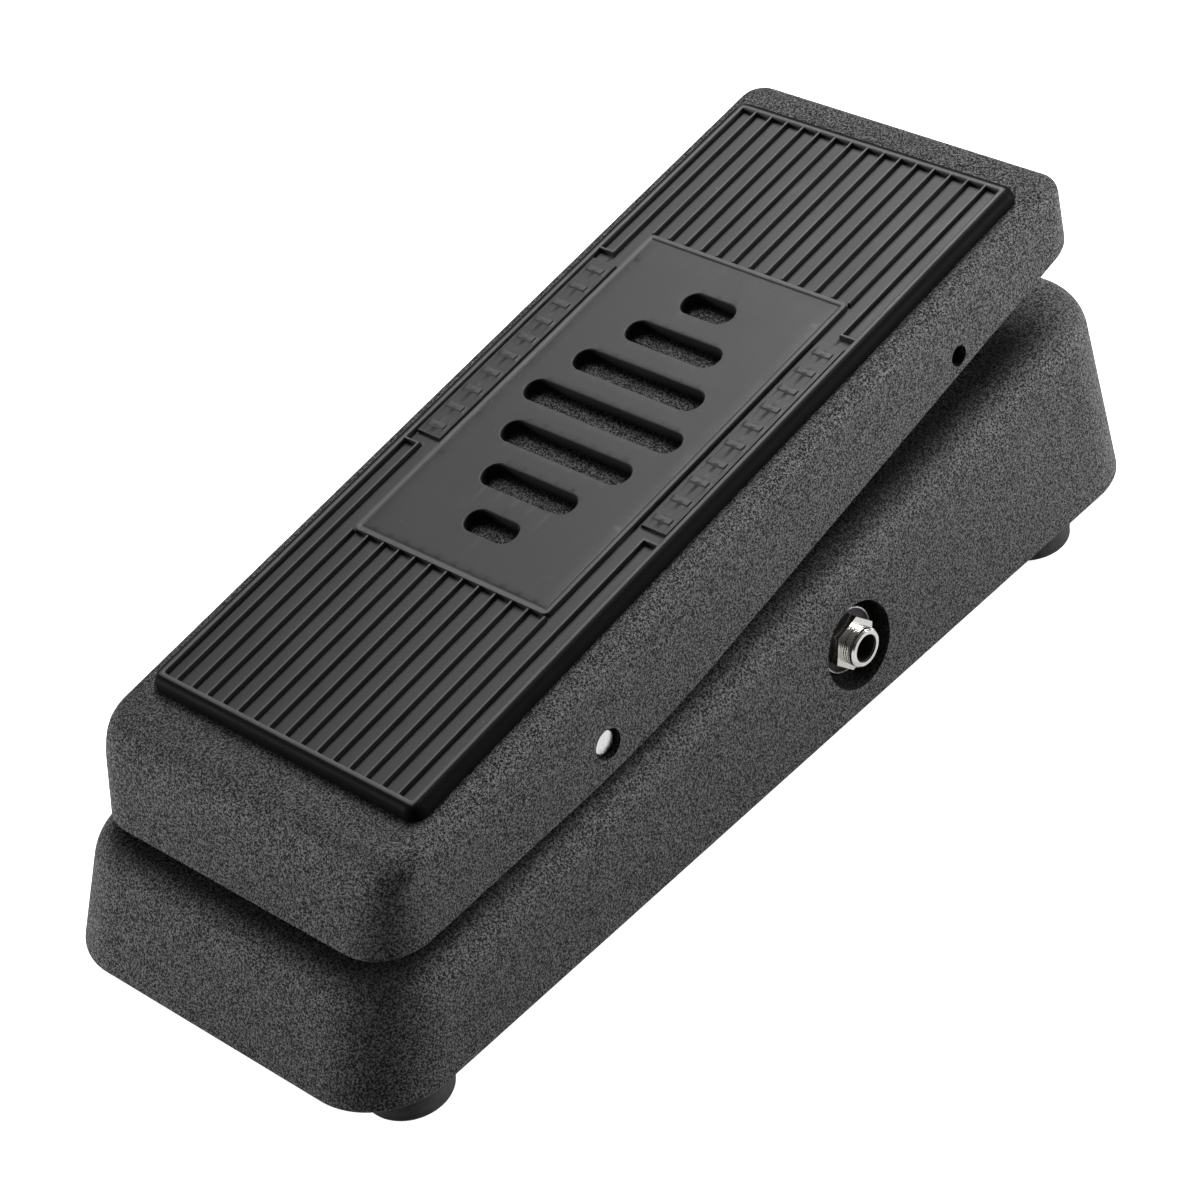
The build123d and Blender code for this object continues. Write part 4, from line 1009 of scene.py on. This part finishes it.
# (colour, stations (x, y, height) along the lead) for each piece
RUNS = {
    "wiring_battery": [
        ("red", [(26.6, BATTERY_Y - 3, 21.5), (33, -80, 20.5), (33.6, -66, 17.5),
                 (27.0, -58.5, 19.0), (24.0, -57.0, 21.6)]),
        ("black", [(26.6, BATTERY_Y + 3, 20.5), (30.5, -76, 19.0), (29.5, -66, 15.5),
                   (21.5, -58, 18.5), (19.0, -56.0, 21.6)])],
    "wiring_signal": [
        ("white", [(13.4, LEAD_Y, 16.1), (10, 14, 14.0), (10, 7, 16.5), (10, 3, 21.6)]),
        ("green", [(-13.4, LEAD_Y, 16.1), (-10, 14, 14.0), (-10, 7, 16.5), (-10, 3, 21.6)]),
        ("blue", [(4.5, 94.5, 19.0), (9.0, 80, 14.5), (9.5, 50, 12.5), (6.0, 20, 13.5),
                  (5.0, 6, 17.5), (5.0, 2, 21.6)]),
        ("yellow", [(-4.5, 94.5, 19.0), (-7.0, 84, 12.0), (-8.0, 50, 11.5), (-4.0, 20, 12.5),
                    (-5.0, 6, 17.5), (-5.0, 2, 21.6)]),
        ("white", [(-12.5, 61.2, 10.8), (-15, 45, 10.8), (-14.5, 20, 11.5), (-15.5, 8, 16.5),
                   (-15.5, 2, 21.6)]),
        ("red", [(-32.4, -20, 13.5), (-31.6, -18.5, 17.0), (-30.0, -16, 19.8),
                 (-28.6, -14.0, 21.6)])],
}


def spline_points(stations, steps=10):
    """Catmull-Rom curve through the stations"""
    p = [np.array(q, float) for q in stations]
    p = [2 * p[0] - p[1]] + p + [2 * p[-1] - p[-2]]
    points = []
    for a, b, c, d in zip(p, p[1:], p[2:], p[3:]):
        for k in range(steps):
            t = k / steps
            points.append(0.5 * ((2 * b) + (-a + c) * t + (2 * a - 5 * b + 4 * c - d) * t ** 2
                                 + (-a + 3 * b - 3 * c + d) * t ** 3))
    points.append(p[-2])
    return points


def tube(points, radius, sides=14):
    """closed tube with flat ends"""
    centres = [Vector(q) * MM for q in points]
    rings = []
    up = Vector((0.3, 0.1, 1)).normalized()
    last = len(centres) - 1
    for i, centre in enumerate(centres):
        along = (centres[min(i + 1, last)] - centres[max(i - 1, 0)]).normalized()
        side = along.cross(up).normalized()
        up = side.cross(along).normalized()
        angles = [2 * math.pi * k / sides for k in range(sides)]
        rings.append([centre + (side * math.cos(a) + up * math.sin(a)) * radius * MM
                      for a in angles])
    return skin(rings)


def add_wiring(node, runs):
    materials, solids, indices = [], [], []
    for color, stations in runs:
        insulation = WIRE_MATERIALS[color]
        for material in (insulation, SOLDER):
            if material not in materials:
                materials.append(material)
        path = [q + np.array((0, 0, CASTING_Z)) for q in spline_points(stations)]
        # the bare ends reach a little way into the insulation
        for points, radius, material in ((path[2:-2], WIRE_RADIUS, insulation),
                                         (path[:4], BARE_RADIUS, SOLDER),
                                         (path[-4:], BARE_RADIUS, SOLDER)):
            solid = tube(points, radius)
            solids.append(solid)
            indices += [materials.index(material)] * len(solid[1])
    wire = make_object(node + "_leads", *join(solids), materials[0])
    for material in materials[1:]:
        wire.data.materials.append(material)
    wire.data.polygons.foreach_set("material_index", indices)
    shade(wire, angle=50)
    hand_over(wire, "base", node)


for node, runs in RUNS.items():
    add_wiring(node, runs)


# ---------------------------------------------------------------- stage
def floor_material():
    """near-white to the camera, dark to bounced light, clear when seen from below"""
    t = Shader("floor")
    path = t.new("ShaderNodeLightPath")
    grain = t.noise(size=3.0)
    pale = t.tone(grain, (0.90, 0.90, 0.90), (0.92, 0.92, 0.92))
    color = t.mix(path.outputs["Is Diffuse Ray"], pale, (0.09, 0.09, 0.09))
    t.finish(color, rough=0.85, spec=0.1)
    t.put(t.bsdf.inputs["Emission Color"], (1, 1, 1))
    t.put(t.bsdf.inputs["Emission Strength"], t.times(path.outputs["Is Camera Ray"], 0.93))
    clear = t.new("ShaderNodeBsdfTransparent")
    side = t.new("ShaderNodeNewGeometry")
    swap = t.new("ShaderNodeMixShader")
    t.put(swap.inputs[0], t.times(side.outputs["Backfacing"], path.outputs["Is Camera Ray"]))
    t.put(swap.inputs[1], t.bsdf.outputs[0])
    t.put(swap.inputs[2], clear.outputs[0])
    t.put(t.out.inputs[0], swap.outputs[0])
    return t.mat


def add_floor():
    material = floor_material()
    bm = bmesh.new()
    bmesh.ops.create_grid(bm, x_segments=40, y_segments=40, size=6.0)
    mesh = bpy.data.meshes.new("floor")
    bm.to_mesh(mesh)
    bm.free()
    floor = bpy.data.objects.new("floor", mesh)
    floor.location = (0, 0, -0.2 * MM)
    mesh.materials.append(material)
    bpy.context.scene.collection.objects.link(floor)
    floor.visible_shadow = False


def add_world():
    """plain white to the camera; a faint sky, brighter overhead, to everything else"""
    world = bpy.data.worlds.new("studio")
    bpy.context.scene.world = world
    world.use_nodes = True
    tree = world.node_tree
    sky = tree.nodes["Background"]
    coord = tree.nodes.new("ShaderNodeTexCoord")
    separate = tree.nodes.new("ShaderNodeSeparateXYZ")
    fade = tree.nodes.new("ShaderNodeMapRange")
    fade.interpolation_type = "SMOOTHSTEP"
    # from the height of the direction to the sky's strength
    for key, value in (("From Min", 0.05), ("From Max", 0.95),
                       ("To Min", 0.010), ("To Max", 0.15)):
        fade.inputs[key].default_value = value
    tree.links.new(coord.outputs["Generated"], separate.inputs[0])
    tree.links.new(separate.outputs[2], fade.inputs["Value"])
    tree.links.new(fade.outputs[0], sky.inputs["Strength"])
    sky.inputs["Color"].default_value = (1.0, 1.0, 1.0, 1.0)
    path = tree.nodes.new("ShaderNodeLightPath")
    mix = tree.nodes.new("ShaderNodeMixShader")
    backdrop = tree.nodes.new("ShaderNodeBackground")
    backdrop.inputs["Color"].default_value = (1, 1, 1, 1)
    backdrop.inputs["Strength"].default_value = 1.15
    tree.links.new(path.outputs["Is Camera Ray"], mix.inputs[0])
    tree.links.new(sky.outputs[0], mix.inputs[1])
    tree.links.new(backdrop.outputs[0], mix.inputs[2])
    tree.links.new(mix.outputs[0], tree.nodes["World Output"].inputs[0])


# name, location, target, width and height (metres), power (watts)
SOFTBOXES = [
    ("softbox_top", (-0.26, 0.56, 1.03), (0, 0.03, 0.05), (0.7, 0.7), 15.5),
    ("softbox_right", (0.90, 0.95, 0.27), (0, 0.05, 0.05), (0.5, 0.4), 19.5),
    ("softbox_left", (-0.98, -1.00, 0.24), (0, -0.05, 0.05), (0.5, 0.4), 12.5),
    ("softbox_under", (0.0, 0.0, -1.0), (0, 0, 0), (0.8, 0.8), 9.0),
]


def add_softbox(name, location, target, size, energy):
    data = bpy.data.lights.new(name, "AREA")
    data.shape = "RECTANGLE"
    data.size, data.size_y = size
    data.energy = energy
    light = bpy.data.objects.new(name, data)
    light.location = location
    light.rotation_mode = "QUATERNION"
    aim = Vector(target) - Vector(location)
    light.rotation_quaternion = aim.to_track_quat("-Z", "Y")
    bpy.context.scene.collection.objects.link(light)
    light.visible_camera = False


add_floor()
add_world()
for softbox in SOFTBOXES:
    add_softbox(*softbox)

# ---------------------------------------------------------------- camera
AZIMUTH = math.radians(50.18)       # from -Y towards +X
ELEVATION = math.radians(37.99)
ROLL = math.radians(-12.31)
DISTANCE = 0.81998                  # metres
TARGET = Vector((-0.03138, 0.02518, 0.0016))


def add_camera():
    back = Vector((math.sin(AZIMUTH) * math.cos(ELEVATION),
                   -math.cos(AZIMUTH) * math.cos(ELEVATION), math.sin(ELEVATION)))
    level = Vector((math.cos(AZIMUTH), math.sin(AZIMUTH), 0))
    upright = back.cross(level)
    right = level * math.cos(ROLL) + upright * math.sin(ROLL)
    up = -level * math.sin(ROLL) + upright * math.cos(ROLL)
    data = bpy.data.cameras.new("camera")
    data.sensor_width = 36.0
    data.lens = 106.46
    data.clip_start, data.clip_end = 0.01, 50
    camera = bpy.data.objects.new("camera", data)
    bpy.context.scene.collection.objects.link(camera)
    place = TARGET + back * DISTANCE
    camera.matrix_world = Matrix((*zip(right, up, back, place), (0, 0, 0, 1)))
    bpy.context.scene.camera = camera


add_camera()
bpy.context.scene.view_settings.view_transform = "Standard"
bpy.context.scene.view_settings.look = "None"
